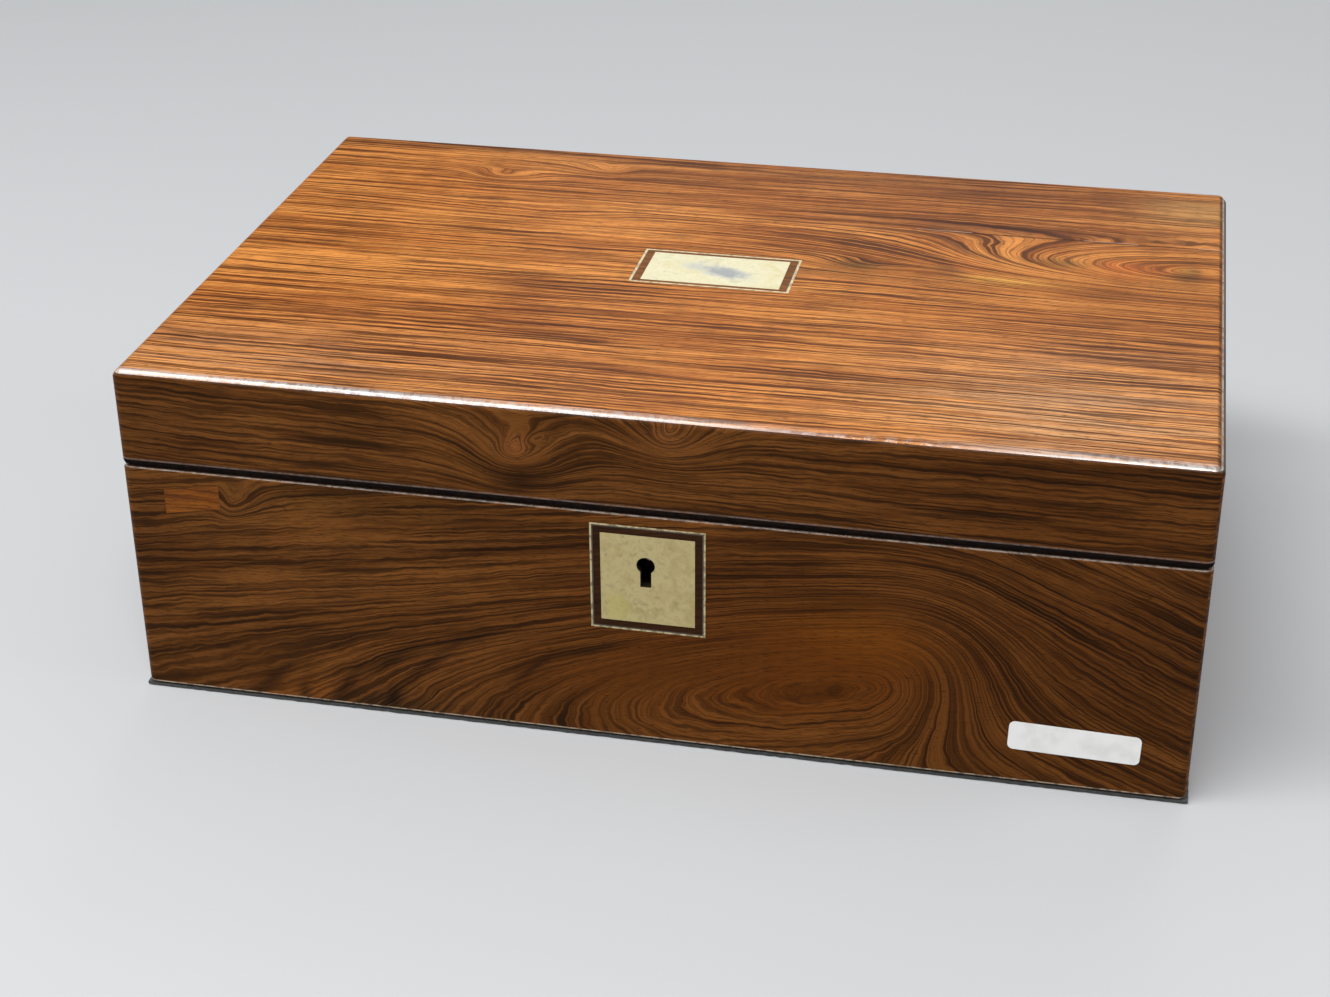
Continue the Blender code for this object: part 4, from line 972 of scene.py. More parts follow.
@dataclass(frozen=True)
class PlainTimber:
    """Straight-grained wood of the carcass and fittings, waxed."""

    name: str
    plane: Plane
    pale: Colour
    dark: Colour
    roughness: float = 0.5
    coat: float = 0.0
    soot: Optional[Swell] = None

    def material(self) -> bpy.types.Material:
        """Build the material.

        Returns:
            The material.
        """
        sheet = ShaderSheet(self.name)
        u, v, third = sheet.places(self.plane)
        warp = (sheet.noise(sheet.place, 22.0, 2.0) - 0.5) * 0.006
        rings = sheet.noise(sheet.vector(u * 0.04, v + warp, third), 260.0, 3.0, 0.6)
        fibres = sheet.noise(sheet.vector(u * 0.03, v, third), 1900.0, 2.0, 0.5)
        pores = sheet.noise(sheet.vector(u * 0.06, v, third), 3600.0, 1.0)
        colour = sheet.ramp(rings * 0.7 + fibres * 0.3, ((0.34, self.dark), (0.62, self.pale)))
        pore = pores.step(0.38, 0.28)
        colour = sheet.mix(pore * 0.6, colour, dimmed(self.dark, 0.35))
        # Grime: random darker, rougher patches.
        grime_and_shade = sheet.noise(sheet.place, 30.0, 4.0, 0.65)
        colour = sheet.mix(grime_and_shade.step(0.48, 0.70) * 0.35, colour, dimmed(self.dark, 0.55))
        # Painted shade on the parts seen through the keyhole.
        if self.soot:
            colour = paint_keyhole_shade(sheet, colour, self.soot)
        normal = sheet.bump(0.5 + fibres * 0.3 - pore * 0.5, 0.00006)
        return sheet.close(
            {"Base Color": colour, "Roughness": self.roughness + grime_and_shade * 0.12, "Normal": normal},
            {"Coat Weight": self.coat, "Coat Roughness": 0.25})


@dataclass(frozen=True)
class Pearl:
    """Mother-of-pearl: milky figure in layers, with a soft sheen."""

    name: str
    plane: Plane
    face: float
    milk: Colour
    honey: Colour
    clouds: tuple[Stain, ...]
    grubbiness: float = 0.2

    def material(self) -> bpy.types.Material:
        """Build the material.

        Returns:
            The material.
        """
        sheet = ShaderSheet(self.name)
        u, v, third = sheet.places(self.plane)
        depth = abs(third - self.face)
        soft = sheet.noise(sheet.place, 75.0, 3.0, 0.6, 0.6)
        layer = sheet.noise(sheet.place, 260.0, 3.0, 0.65, 1.4)
        fine = sheet.noise(sheet.place, 1500.0, 3.0, 0.6)
        colour = sheet.ramp(soft * 0.6 + layer * 0.4, (
            (0.36, self.honey), (0.52, self.milk), (0.66, dimmed(self.honey, 0.86))))
        for cloud in self.clouds:
            haze = cloud.shape.field(u, v) + (soft - 0.5) * 1.1 + (layer - 0.5) * 0.8
            colour = sheet.mix(haze.step(0.30, 0.95) * cloud.strength, colour, cloud.colour)
        # Grime: random dark, rougher specks.
        grime_and_shade = sheet.noise(sheet.place, 520.0, 4.0, 0.7)
        colour = sheet.mix(grime_and_shade.step(0.50, 0.74) * self.grubbiness, colour, (0.12, 0.085, 0.035))
        # Painted shade: the plate's cut walls below its face, such as the keyhole's, go near black.
        colour = sheet.mix(depth.step(0.00025, 0.00050), colour, PAINTED_SHADE)
        normal = sheet.bump(layer * 0.6 + fine * 0.4, 0.00005)
        return sheet.close(
            {"Base Color": colour, "Roughness": 0.24 + grime_and_shade * 0.2, "Normal": normal},
            {"Coat Weight": 0.35, "Coat Roughness": 0.12, "Sheen Weight": 0.05})


@dataclass(frozen=True)
class Metal:
    """Brass or iron with tarnish, fine scratches and rubbed high spots."""

    name: str
    bright: Colour
    tarnish: Colour
    roughness: float = 0.28
    cover: float = 0.5
    soot: Optional[Swell] = None

    def material(self) -> bpy.types.Material:
        """Build the material.

        Returns:
            The material.
        """
        sheet = ShaderSheet(self.name)
        x, y, z = sheet.axes()
        bloom = sheet.noise(sheet.place, 160.0, 4.0, 0.65)
        spots = sheet.noise(sheet.place, 900.0, 3.0, 0.6)
        scratches = sheet.noise(sheet.vector(x * 0.08, y, z), 5200.0, 2.0, 0.6)
        cover = (bloom * 0.65 + spots * 0.35).step(0.62 - self.cover * 0.3, 0.72)
        colour = sheet.mix(cover, self.bright, self.tarnish)
        # Painted shade on the parts seen through the keyhole.
        if self.soot:
            colour = paint_keyhole_shade(sheet, colour, self.soot)
        normal = sheet.bump(scratches * 0.6 + spots * 0.4, 0.00002)
        return sheet.close(
            {"Base Color": colour, "Roughness": self.roughness + cover * 0.3 + scratches * 0.08,
             "Metallic": 1.0 - cover * 0.35, "Normal": normal}, {})


@dataclass(frozen=True)
class LineInlay:
    """The thin pale line let in round a plate, dulled and broken in places."""

    name: str
    plane: Plane
    pale: Colour
    dull: Colour
    inner: Panel

    def material(self) -> bpy.types.Material:
        """Build the material.

        Returns:
            The material.
        """
        sheet = ShaderSheet(self.name)
        u, v, _ = sheet.places(self.plane)
        worn = sheet.noise(sheet.place, 420.0, 3.0, 0.7)
        fine = sheet.noise(sheet.place, 3200.0, 2.0, 0.6)
        colour = sheet.mix(worn.step(0.44, 0.62), self.pale, self.dull)
        colour = sheet.mix(self.inner.field(u, v), colour, self.inner.colour)
        colour = sheet.mix(fine.step(0.58, 0.75) * 0.5, colour, (0.05, 0.03, 0.015))
        normal = sheet.bump(fine, 0.00004)
        return sheet.close({"Base Color": colour, "Roughness": 0.3 + worn * 0.25,
                            "Normal": normal}, {"Coat Weight": 0.3, "Coat Roughness": 0.2})


@dataclass(frozen=True)
class Felt:
    """Dark fuzzy cloth with lint in it."""

    name: str
    wool: Colour
    lint: Colour

    def material(self) -> bpy.types.Material:
        """Build the material.

        Returns:
            The material.
        """
        sheet = ShaderSheet(self.name)
        tufts = sheet.noise(sheet.place, 900.0, 4.0, 0.75, 0.8)
        hairs = sheet.noise(sheet.place, 3800.0, 3.0, 0.7, 2.0)
        dust = sheet.noise(sheet.place, 650.0, 4.0, 0.8)
        colour = sheet.mix(tufts.step(0.35, 0.7), dimmed(self.wool, 0.45), self.wool)
        colour = sheet.mix(dust.step(0.64, 0.76) * 0.6, colour, self.lint)
        normal = sheet.bump(tufts * 0.5 + hairs * 0.5, 0.0006)
        return sheet.close({"Base Color": colour, "Roughness": 0.92 + hairs * 0.08,
                            "Normal": normal}, {"Sheen Weight": 0.25, "Sheen Roughness": 0.5})


@dataclass(frozen=True)
class Leather:
    """Skiver leather with a pebbled grain and a gilt line inside its edge."""

    name: str
    dye: Colour
    rubbed: Colour
    gilt: Colour
    half_width: float
    middle_along: float
    half_depth: float
    slope: float
    line_inset: float = 0.0075
    line_breadth: float = 0.0011
    line_gap: float = 0.0012

    def material(self) -> bpy.types.Material:
        """Build the material.

        Returns:
            The material.
        """
        sheet = ShaderSheet(self.name)
        x, y, _ = sheet.axes()
        distance = sheet.cells(sheet.place, 1500.0)
        broad = sheet.noise(sheet.place, 24.0, 4.0, 0.6)
        fine = sheet.noise(sheet.place, 1100.0, 3.0, 0.6)
        colour = sheet.mix(broad.step(0.42, 0.74) * 0.45, self.dye, self.rubbed)
        colour = sheet.mix(distance.step(0.55, 0.75) * 0.4, colour, dimmed(self.dye, 0.4))
        across = (y - self.middle_along) / math.cos(self.slope)
        edge = (abs(x) * -1.0 + self.half_width).at_most(abs(across) * -1.0 + self.half_depth)
        outer = abs(edge - self.line_inset).step(self.line_breadth, self.line_breadth * 0.5)
        second = self.line_inset + self.line_breadth + self.line_gap
        inner = abs(edge - second).step(self.line_breadth * 0.45, self.line_breadth * 0.2)
        gilt = outer.at_least(inner) * fine.step(0.34, 0.50)
        colour = sheet.mix(gilt, colour, self.gilt)
        relief = distance * -0.5 + fine * 0.4 + 0.6 - gilt * 0.5
        normal = sheet.bump(relief, 0.00012)
        return sheet.close(
            {"Base Color": colour, "Roughness": 0.52 - gilt * 0.2, "Metallic": gilt * 0.9,
             "Normal": normal}, {"Specular IOR Level": 0.35})


@dataclass(frozen=True)
class Paper:
    """White paper of a small label, gone a little grey."""

    name: str
    white: Colour
    grey: Colour

    def material(self) -> bpy.types.Material:
        """Build the material.

        Returns:
            The material.
        """
        sheet = ShaderSheet(self.name)
        fibre = sheet.noise(sheet.place, 2600.0, 3.0, 0.7, 1.0)
        soil = sheet.noise(sheet.place, 140.0, 3.0, 0.6)
        colour = sheet.mix(soil.step(0.40, 0.75) * 0.5, self.white, self.grey)
        normal = sheet.bump(fibre, 0.00003)
        return sheet.close({"Base Color": colour, "Roughness": 0.7 + fibre * 0.1,
                            "Normal": normal}, {})


@dataclass(frozen=True)
class Glass:
    """Pressed clear glass with faint ripples."""

    name: str
    tint: Colour

    def material(self) -> bpy.types.Material:
        """Build the material.

        Returns:
            The material.
        """
        sheet = ShaderSheet(self.name)
        ripple = sheet.noise(sheet.place, 120.0, 2.0)
        dust = sheet.noise(sheet.place, 420.0, 4.0, 0.7)
        normal = sheet.bump(ripple, 0.0002)
        return sheet.close(
            {"Roughness": 0.03 + dust.step(0.5, 0.8) * 0.25, "Normal": normal,
             "Base Color": sheet.mix(dust * 0.2, self.tint, (0.75, 0.80, 0.74))},
            {"Transmission Weight": 1.0, "IOR": 1.5})


@dataclass(frozen=True)
class Veneers:
    """The nine sheets of veneer, each sawn from a rounded block of its half's outer form."""

    box: BoxShape
    corner_steps: int = 10
    rim_steps: int = 4
    worn_flat: float = 0.36
    line_breadth: float = 0.0010
    patch_rise: float = 0.0032
    crack_x: float = 0.052
    crack_y: float = 0.0560
    crack_width: float = 0.00034
    crack_depth: float = 0.00045
    crack_bends: tuple[float, ...] = (0.0, 0.0003, -0.0002, 0.0004, 0.0001, 0.0006, 0.0002, 0.0005, 0.0003)

    # Browns of the fronts, sides and back: the wood's own darker colour, partly painted shade where these
    # faces get less light than the top.
    DARK_AND_SHADED_BROWNS = {"light": (0.168, 0.0605, 0.0126), "middle": (0.100, 0.0332, 0.0060),
              "deep": (0.052, 0.0175, 0.0028), "ink": (0.0200, 0.0076, 0.0018), "specular": 0.035}
    # Pale colour along the crack: painted highlight on its edge, with scratches.
    crack_highlight_and_scratch: Colour = (0.70, 0.50, 0.36)

    flame_tint: Colour = (0.34, 0.36, 0.40)
    flame_strength: float = 0.92

    # Dark flames low on the front: along, across, reach, breadth, tilt
    FLAMES = (
        (-0.1288, 0.0086, 0.0075, 0.0030, 0.76), (-0.1175, 0.0050, 0.0026, 0.0050, 0.0),
        (-0.1024, 0.0097, 0.0055, 0.0040, 1.24), (-0.0870, 0.0213, 0.0120, 0.0026, 0.57),
        (-0.0600, 0.0327, 0.0180, 0.0018, 0.33), (-0.0860, 0.0065, 0.0030, 0.0055, 0.50),
        (-0.0746, 0.0199, 0.0110, 0.0026, 0.88), (-0.0384, 0.0234, 0.0070, 0.0020, 0.83),
        (-0.0195, 0.0331, 0.0140, 0.0017, 0.35))

    def half_block(self, half: Half) -> Workpiece:
        """Make one half's outer form as a solid block with all its edges rounded.

        Args:
            half: Which half.

        Returns:
            The block.
        """
        box = self.box
        lid = half is Half.LID
        seam = box.seam_point(box.seam_gap / 2 if lid else -box.seam_gap / 2)
        low = Vector((-box.half_width, -box.half_depth, box.wood_bottom))
        high = Vector((box.half_width, box.half_depth, box.height))
        block = Workpiece.block(f"{half.value}_outer_form", low, high)
        block.saw(seam, -box.seam_normal if lid else box.seam_normal)
        end = box.height if lid else box.wood_bottom

        def at_seam(edge: Any) -> bool:
            """Pick an edge of the rim at the seam."""
            return all(abs((vert.co - seam).dot(box.seam_normal)) < SAME_PLACE
                       for vert in edge.verts)

        def at_end(edge: Any) -> bool:
            """Pick an edge of the top or the foot."""
            return all(abs(vert.co.z - end) < SAME_PLACE for vert in edge.verts)

        block.round_edges(is_upright, box.corner_radius, self.corner_steps)
        block.round_edges(at_seam, box.lid_arris if lid else box.seam_arris, self.rim_steps)
        if lid:
            block.round_edges(at_end, box.top_radius, self.corner_steps, self.worn_flat)
        else:
            block.round_edges(at_end, box.foot_arris, self.rim_steps)
        return block

    def sheet(self, block: Workpiece, half: Half, side: Side) -> Workpiece:
        """Saw one side's sheet out of a copy of the block, mitred at both ends.

        Args:
            block: The half's outer form.
            half: Which half it is.
            side: Which side's sheet.

        Returns:
            The sheet.
        """
        box = self.box
        turns, name = side.value
        turn = Matrix.Rotation(turns * math.pi / 2, 3, "Z")
        run, reach = box.half_width, box.half_depth
        if turns % 2:
            run, reach = reach, run
        sheet = block.copy(f"{half.value}_{name}_sheet")
        sheet.saw(turn @ Vector((0, -reach + box.veneer, 0)), turn @ Vector((0, 1, 0)))
        for hand in (-1, 1):
            corner = Vector((hand * (run - HAIRLINE), -reach, 0))
            sheet.saw(turn @ corner, turn @ Vector((hand, 1, 0)).normalized())
        if half is Half.LID:
            sheet.saw((0, 0, box.height - box.veneer - HAIRLINE), (0, 0, 1))
        return sheet

    def recess(self, node: str, depth_axis: int) -> Workpiece:
        """Make the tool that cuts an inlay's bed.

        Args:
            node: The inlay.
            depth_axis: The axis along which it is let in.

        Returns:
            A block a hairline wider than the inlay and longer both ways.
        """
        low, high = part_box(node)
        for axis in range(3):
            grow = OVERRUN if axis == depth_axis else HAIRLINE
            low[axis] -= grow
            high[axis] += grow
        return Workpiece.block(f"{node}_recess", low, high)

    def patch_recess(self) -> Workpiece:
        """Return the tool for the leaning repair: a block whose right end is raised.

        Returns:
            The tool.
        """
        low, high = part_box("veneer_patch")
        high.z -= self.patch_rise
        grow = Vector((HAIRLINE, OVERRUN, HAIRLINE))
        tool = Workpiece.block("patch_recess", low - grow, high + grow)
        middle = (low.x + high.x) / 2
        with tool.editing():
            tool.pick(Part.VERTS, lambda vert: vert.co.x > middle)
            bpy.ops.transform.translate(value=(0, 0, self.patch_rise))
        return tool

    def line_groove(self, node: str, depth_axis: int) -> Workpiece:
        """Make the tool that cuts the groove of a line.

        Args:
            node: The line.
            depth_axis: The axis along which it is let in.

        Returns:
            A frame a hairline wider than the line, as deep as the line is thick.
        """
        low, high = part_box(node)
        groove = self.recess(node, depth_axis)
        shrink = Vector([self.line_breadth + HAIRLINE] * 3)
        shrink[depth_axis] = -2 * OVERRUN
        groove.join(Workpiece.block(f"{node}_core", low + shrink, high - shrink))
        inward = Vector((0, 1, 0)) if depth_axis == 1 else Vector((0, 0, -1))
        floor = high if depth_axis == 1 else low
        return groove.saw(floor + inward * HAIRLINE, inward)

    def crack(self) -> Workpiece:
        """Return the tool that opens the old shrinkage crack across the top's right half.

        Returns:
            The tool.
        """
        low = Vector((self.crack_x, self.crack_y, self.box.height - self.crack_depth))
        high = Vector((self.box.half_width + OVERRUN, low.y + self.crack_width,
                       self.box.height + OVERRUN))
        tool = Workpiece.block("crack_tool", low, high)
        bends = len(self.crack_bends) - 1
        step = (high.x - low.x) / bends
        for number in range(1, bends):
            with tool.editing():
                bpy.ops.mesh.select_all(action="SELECT")
                bpy.ops.mesh.bisect(plane_co=(low.x + number * step, 0, 0), plane_no=(1, 0, 0))
        for number, bend in enumerate(self.crack_bends):
            place = low.x + number * step
            with tool.editing():
                tool.pick(Part.VERTS, lambda vert: abs(vert.co.x - place) < SAME_PLACE)
                bpy.ops.transform.translate(value=(0, bend, 0))
        return tool

    def build(self) -> dict[str, Workpiece]:
        """Make all nine sheets.

        Returns:
            The sheets by name.
        """
        sheets: dict[str, Workpiece] = {}
        for half in Half:
            block = self.half_block(half)
            for side in Side:
                sheets[f"{half.value}_{side.value[1]}"] = self.sheet(block, half, side)
            if half is Half.LID:
                top = block.copy("lid_top_sheet")
                sheets["lid_top"] = top.saw((0, 0, self.box.height - self.box.veneer), (0, 0, -1))
            bpy.data.objects.remove(block.thing, do_unlink=True)
        front, top = sheets["base_front"], sheets["lid_top"]
        front.join(self.recess("escutcheon_plate", 1))
        front.join(self.line_groove("escutcheon_line", 1))
        front.join(self.patch_recess())
        top.join(self.recess("name_plate", 2))
        top.join(self.line_groove("name_plate_line", 2))
        top.join(self.crack())
        return sheets

    def rims(self, half: Half, side: Optional[Side]) -> tuple[Rim, ...]:
        """Describe the painted edges of one sheet: wear, dirt, painted highlights and painted shade.

        Args:
            half: Which half it is on.
            side: Which side, or None for the top.

        Returns:
            Its rims.
        """
        box = self.box
        width, depth = box.half_width, box.half_depth
        # The third colour is near black: on the top's back edge, and as painted shade on the lid's seam
        # arris.
        worn, pale, grime_and_shade = (0.26, 0.19, 0.155), (0.42, 0.36, 0.30), (0.006, 0.004, 0.0035)
        # Each rim: point, way out, colour, width, strength, gloss, how broken, solid core
        if side is None:
            return (
                # Front arris of the top: pale wear and a painted highlight, fading where the quiet swell
                # lies.
                Rim((0, -depth, 0), (0, -1, 0), (0.64, 0.60, 0.57), 0.0036, 0.75, 1.0, 0.55,
                    quiet=Swell(0.075, -depth, 0.060, 0.055, 0.010)),
                Rim((0, depth, 0), (0, 1, 0), grime_and_shade, 0.0022, 0.55, 0.3),
                Rim((width, 0, 0), (1, 0, 0), (0.030, 0.012, 0.006), 0.0030, 0.7, 0.0, 0.4, 0.6),
                # Right arris of the top: pale wear and a painted highlight.
                Rim((width, 0, 0), (1, 0, 0), (0.62, 0.55, 0.47), 0.0017, 0.9, 1.0, 0.65, 0.6),
                Rim((-width, 0, 0), (-1, 0, 0), pale, 0.0014, 0.70, 0.6, 0.5),
            )
        across = (1, 0, 0) if side in (Side.FRONT, Side.BACK) else (0, 1, 0)
        reach = width if side in (Side.FRONT, Side.BACK) else depth
        ends = tuple(
            Rim(tuple(hand * reach * part for part in across),
                tuple(hand * part for part in across), worn, 0.0009, 0.5, 0.4)
            for hand in (-1, 1))
        normal, seam = tuple(box.seam_normal), tuple(box.hinge)
        if half is Half.BASE:
            return ends + (
                # Base's upper arris at the seam: a thin painted highlight.
                Rim(seam, normal, (0.50, 0.44, 0.38), 0.00056, 0.75, 1.0, 0.65),
                Rim((0, 0, box.wood_bottom), (0, 0, -1), (0.46, 0.36, 0.25), 0.0009, 0.9, 0.5,
                    0.75, 0.6),
            )
        back = tuple(-part for part in normal)
        return ends + (
            # Lid's lower arris at the seam: a faint painted highlight, then a dark matt band of painted
            # shade.
            Rim(seam, back, (0.22, 0.17, 0.15), 0.0034, 0.5, 0.5, 0.6, 0.8),
            Rim(seam, back, grime_and_shade, 0.0028, 1.0, 0.0, 0.05, 0.85, matt=True),
            # Top arris of the lid's sides and front: pale wear and a painted highlight, stronger off the
            # front.
            Rim((0, 0, box.height), (0, 0, 1), (0.30, 0.22, 0.18), 0.0021,
                0.45 if side is Side.FRONT else 0.8, 1.0),
        )

    def panel(self, node: str, upright: int, colour: Colour) -> Panel:
        """Describe the stained field inside an inlaid line.

        Args:
            node: The line.
            upright: The axis across the face's grain.
            colour: The field's colour.

        Returns:
            The field.
        """
        low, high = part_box(node)
        return Panel((low.x, low[upright]), (high.x, high[upright]), colour)

    def finishes(self) -> dict[str, Rosewood]:
        """Describe each sheet's wood: plain ones, and three with a figure of their own.

        Returns:
            The finishes by the sheets' names.
        """
        sheets = {
            f"{half.value}_{side.value[1]}": Rosewood(
                f"{half.value}_{side.value[1]}_rosewood",
                Plane.FRONT if side in (Side.FRONT, Side.BACK) else Plane.SIDE,
                rims=self.rims(half, side), offset=0.37 * number + (5.0 if half is Half.LID else 0.0),
                drift=0.03 * (-1) ** number, **self.DARK_AND_SHADED_BROWNS)
            for half in Half for number, side in enumerate(Side)
        }
        sheets["base_front"] = self.base_front()
        sheets["lid_front"] = self.lid_front()
        sheets["lid_top"] = self.lid_top()
        return sheets

    def base_front(self) -> Rosewood:
        """Describe the base's front: an oval at the right, lines running up to it, flames.

        Returns:
            Its wood.
        """
        return Rosewood(
            "base_front_rosewood", Plane.FRONT, **self.DARK_AND_SHADED_BROWNS,
            swells=make_swells(
                (0.074, 0.036, 0.115, 0.032, 0.026, -0.062, 0.16),
                (-0.125, -0.006, 0.220, 0.075, 0.030, 0.019, 0.0),
                (-0.1365, 0.0745, 0.0050, 0.0080, 0.0060, 0.0060, 0.3),
            ),
            calms=make_swells(
                (0.060, 0.038, 0.050, 0.032, 0.017, 0.85, 0.12),
                (-0.005, 0.024, 0.045, 0.040, 0.010, 0.70, 0.20),
                (-0.145, 0.012, 0.030, 0.030, 0.010, 0.60, 0.10),
            ),
            bends=(Bend(0.005, 0.10, 0.030), Bend(0.098, 0.50, 0.022)),
            panels=(self.panel("escutcheon_line", 2, (0.018, 0.008, 0.004)),),
            stains=make_stains(
                ((0.055, 0.036, 0.060, 0.036, 0.018, 0.0, 0.1), (0.135, 0.038, 0.0040), 1.3),
                ((0.075, 0.049, 0.030, 0.018, 0.009, 0.0, -0.1), (0.200, 0.062, 0.0060), 1.0),
                ((0.010, 0.030, 0.050, 0.050, 0.012, 0.0, 0.15), (0.115, 0.035, 0.0050), 0.8),
                ((-0.118, 0.006, 0.020, 0.020, 0.005, 0.0, 0.2), (0.230, 0.072, 0.0120), 0.6),
                ((-0.092, 0.004, 0.012, 0.030, 0.0045), (0.024, 0.014, 0.006), 0.8),
            ),
            tints=make_stains(
                ((0.020, 0.068, 0.040, 0.040, 0.014), (0.62, 0.58, 0.50), 0.7),
                ((0.020, 0.045, 0.100, 0.200, 0.070), (0.88, 0.80, 0.66), 0.8),
                ((0.150, 0.050, 0.060, 0.040, 0.060), (0.66, 0.62, 0.52), 0.9),
                ((-0.090, 0.079, 0.045, 0.045, 0.006), (0.60, 0.66, 0.60), 0.7),
                ((-0.168, 0.062, 0.010, 0.030, 0.030), (0.55, 0.52, 0.50), 0.7),
                ((-0.060, 0.066, 0.080, 0.090, 0.0022, 0.0, 0.14), (0.50, 0.48, 0.48), 0.8),
                *(((along, across, reach, reach, breadth, 0.0, tilt), self.flame_tint,
                    self.flame_strength)
                  for along, across, reach, breadth, tilt in self.FLAMES),
            ),
            rims=self.rims(Half.BASE, Side.FRONT), drift=-0.14, offset=2.1, waviness=0.0030)

    def lid_front(self) -> Rosewood:
        """Describe the lid's front: a knot left of its middle and one close to it.

        Returns:
            Its wood.
        """
        return Rosewood(
            "lid_front_rosewood", Plane.FRONT, **self.DARK_AND_SHADED_BROWNS,
            swells=make_swells(
                (-0.0402, 0.1020, 0.017, 0.017, 0.0130, 0.0130),
                (-0.0402, 0.1048, 0.0050, 0.0042, 0.0042, 0.0065, 0.45),
                (-0.0365, 0.1075, 0.0030, 0.0060, 0.0022, -0.0032, 0.5),
                (0.0082, 0.1150, 0.015, 0.015, 0.0110, 0.0130),
                (0.0082, 0.1145, 0.0048, 0.0060, 0.0062, 0.0055, 0.1),
                (0.0040, 0.1165, 0.0030, 0.0030, 0.0026, -0.0024),
            ),
            stains=make_stains(
                ((-0.0405, 0.1052, 0.0045, 0.0045, 0.0045), (0.24, 0.08, 0.022), 0.8),
                ((0.0082, 0.1122, 0.008, 0.008, 0.005), (0.25, 0.09, 0.024), 0.7),
            ),
            tints=make_stains(
                ((-0.0400, 0.0925, 0.007, 0.007, 0.005), (0.40, 0.38, 0.40), 0.8),
                ((0.130, 0.100, 0.110, 0.090, 0.050), (0.66, 0.60, 0.50), 0.9),
                ((-0.170, 0.100, 0.020, 0.030, 0.050), (0.66, 0.64, 0.62), 0.8),
            ),
            rims=self.rims(Half.LID, Side.FRONT), drift=0.02, offset=7.7, waviness=0.0024)

    def lid_top(self) -> Rosewood:
        """Describe the top: a cathedral figure and a crack at the right, a pale corner, painted sheen at
        the front corners.

        Returns:
            Its wood.
        """
        crack = self.crack_y
        return Rosewood(
            "lid_top_rosewood", Plane.TOP,
            (0.664, 0.254, 0.055), (0.416, 0.129, 0.0225), (0.215, 0.060, 0.009),
            ink=(0.070, 0.020, 0.004), length=1.5, lines=1.25,
            swells=make_swells(
                (0.168, 0.031, 0.082, 0.060, 0.0215, 0.058, 0.0),
                (0.050, 0.018, 0.016, 0.016, 0.0060, 0.0070),
                (-0.098, 0.081, 0.012, 0.016, 0.0070, 0.0080),
                (-0.059, 0.094, 0.014, 0.010, 0.0065, 0.0070),
                (-0.070, 0.045, 0.045, 0.030, 0.0060, 0.0050, -0.03),
            ),
            stains=make_stains(
                ((0.162, 0.092, 0.020, 0.030, 0.016), (0.62, 0.34, 0.11), 0.8),
                ((0.140, 0.033, 0.012, 0.014, 0.006), (0.62, 0.16, 0.030), 0.9),
                ((0.082, 0.026, 0.014, 0.010, 0.005), (0.60, 0.17, 0.030), 0.7),
                ((0.096, 0.014, 0.012, 0.020, 0.004), (0.72, 0.36, 0.070), 0.9),
                # Painted sheen: paler, greyer patches at the front right and front left stand in for the
                # light reflected in the polish.
                ((0.130, -0.085, 0.060, 0.060, 0.040), (0.60, 0.39, 0.22), 0.55),
                ((-0.140, -0.100, 0.060, 0.100, 0.030), (0.52, 0.31, 0.17), 0.45),
            ),
            tints=make_stains(
                ((0.060, 0.104, 0.120, 0.100, 0.014), (0.42, 0.38, 0.46), 0.75),
                ((0.080, 0.082, 0.130, 0.110, 0.030), (0.78, 0.77, 0.86), 0.8),
                ((0.095, 0.062, 0.060, 0.060, 0.006, 0.0, 0.05), (0.42, 0.38, 0.50), 0.8),
                ((-0.100, 0.110, 0.090, 0.070, 0.004), (0.36, 0.34, 0.40), 0.8),
                ((0.047, 0.018, 0.010, 0.010, 0.0045), (0.34, 0.42, 0.42), 0.9),
                ((0.078, 0.023, 0.006, 0.006, 0.0060, 0.0, -0.8), (0.34, 0.38, 0.46), 0.7),
                ((0.118, 0.034, 0.014, 0.010, 0.0040), (0.44, 0.52, 0.50), 0.8),
                ((0.161, 0.031, 0.006, 0.006, 0.0090), (0.38, 0.48, 0.50), 0.8),
                ((0.035, 0.008, 0.020, 0.040, 0.0040), (0.46, 0.40, 0.40), 0.7),
                ((-0.060, -0.055, 0.120, 0.110, 0.030), (0.80, 0.76, 0.80), 0.7),
            ),
            calms=make_swells(
                (0.135, 0.032, 0.040, 0.050, 0.012, 0.35),
                (0.160, 0.092, 0.030, 0.030, 0.016, 0.50),
                (0.000, 0.085, 0.200, 0.200, 0.050, 0.25),
            ),
            rims=self.rims(Half.LID, None), offset=11.3, waviness=0.0018, gloss=0.28,
            panels=(
                self.panel("name_plate_line", 1, (0.115, 0.042, 0.010)),
                Panel((0.062, crack - 0.0006), (0.176, crack + 0.0004), (0.050, 0.018, 0.010), 0.75),
                # Painted highlight and pale scratches along the crack's edge.
                *(Panel((start, crack + 0.0003), (end, crack + breadth), self.crack_highlight_and_scratch, strength)
                  for start, end, breadth, strength in (
                      (0.064, 0.084, 0.0007, 0.60), (0.124, 0.143, 0.0008, 0.65),
                      (0.164, 0.176, 0.0009, 0.60))),
            ),
            coat=0.01, specular=0.03)

    def dress(self, sheets: dict[str, Workpiece]) -> None:
        """Give each sheet its wood and its body.

        Args:
            sheets: The sheets by name.
        """
        finishes = self.finishes()
        for name, sheet in sheets.items():
            half = name.split("_")[0]
            slot = "rosewood_top" if name == "lid_top" else "rosewood_dark"
            sheet.shade().finish(finishes[name].material(), half, slot, f"{name}_veneer")


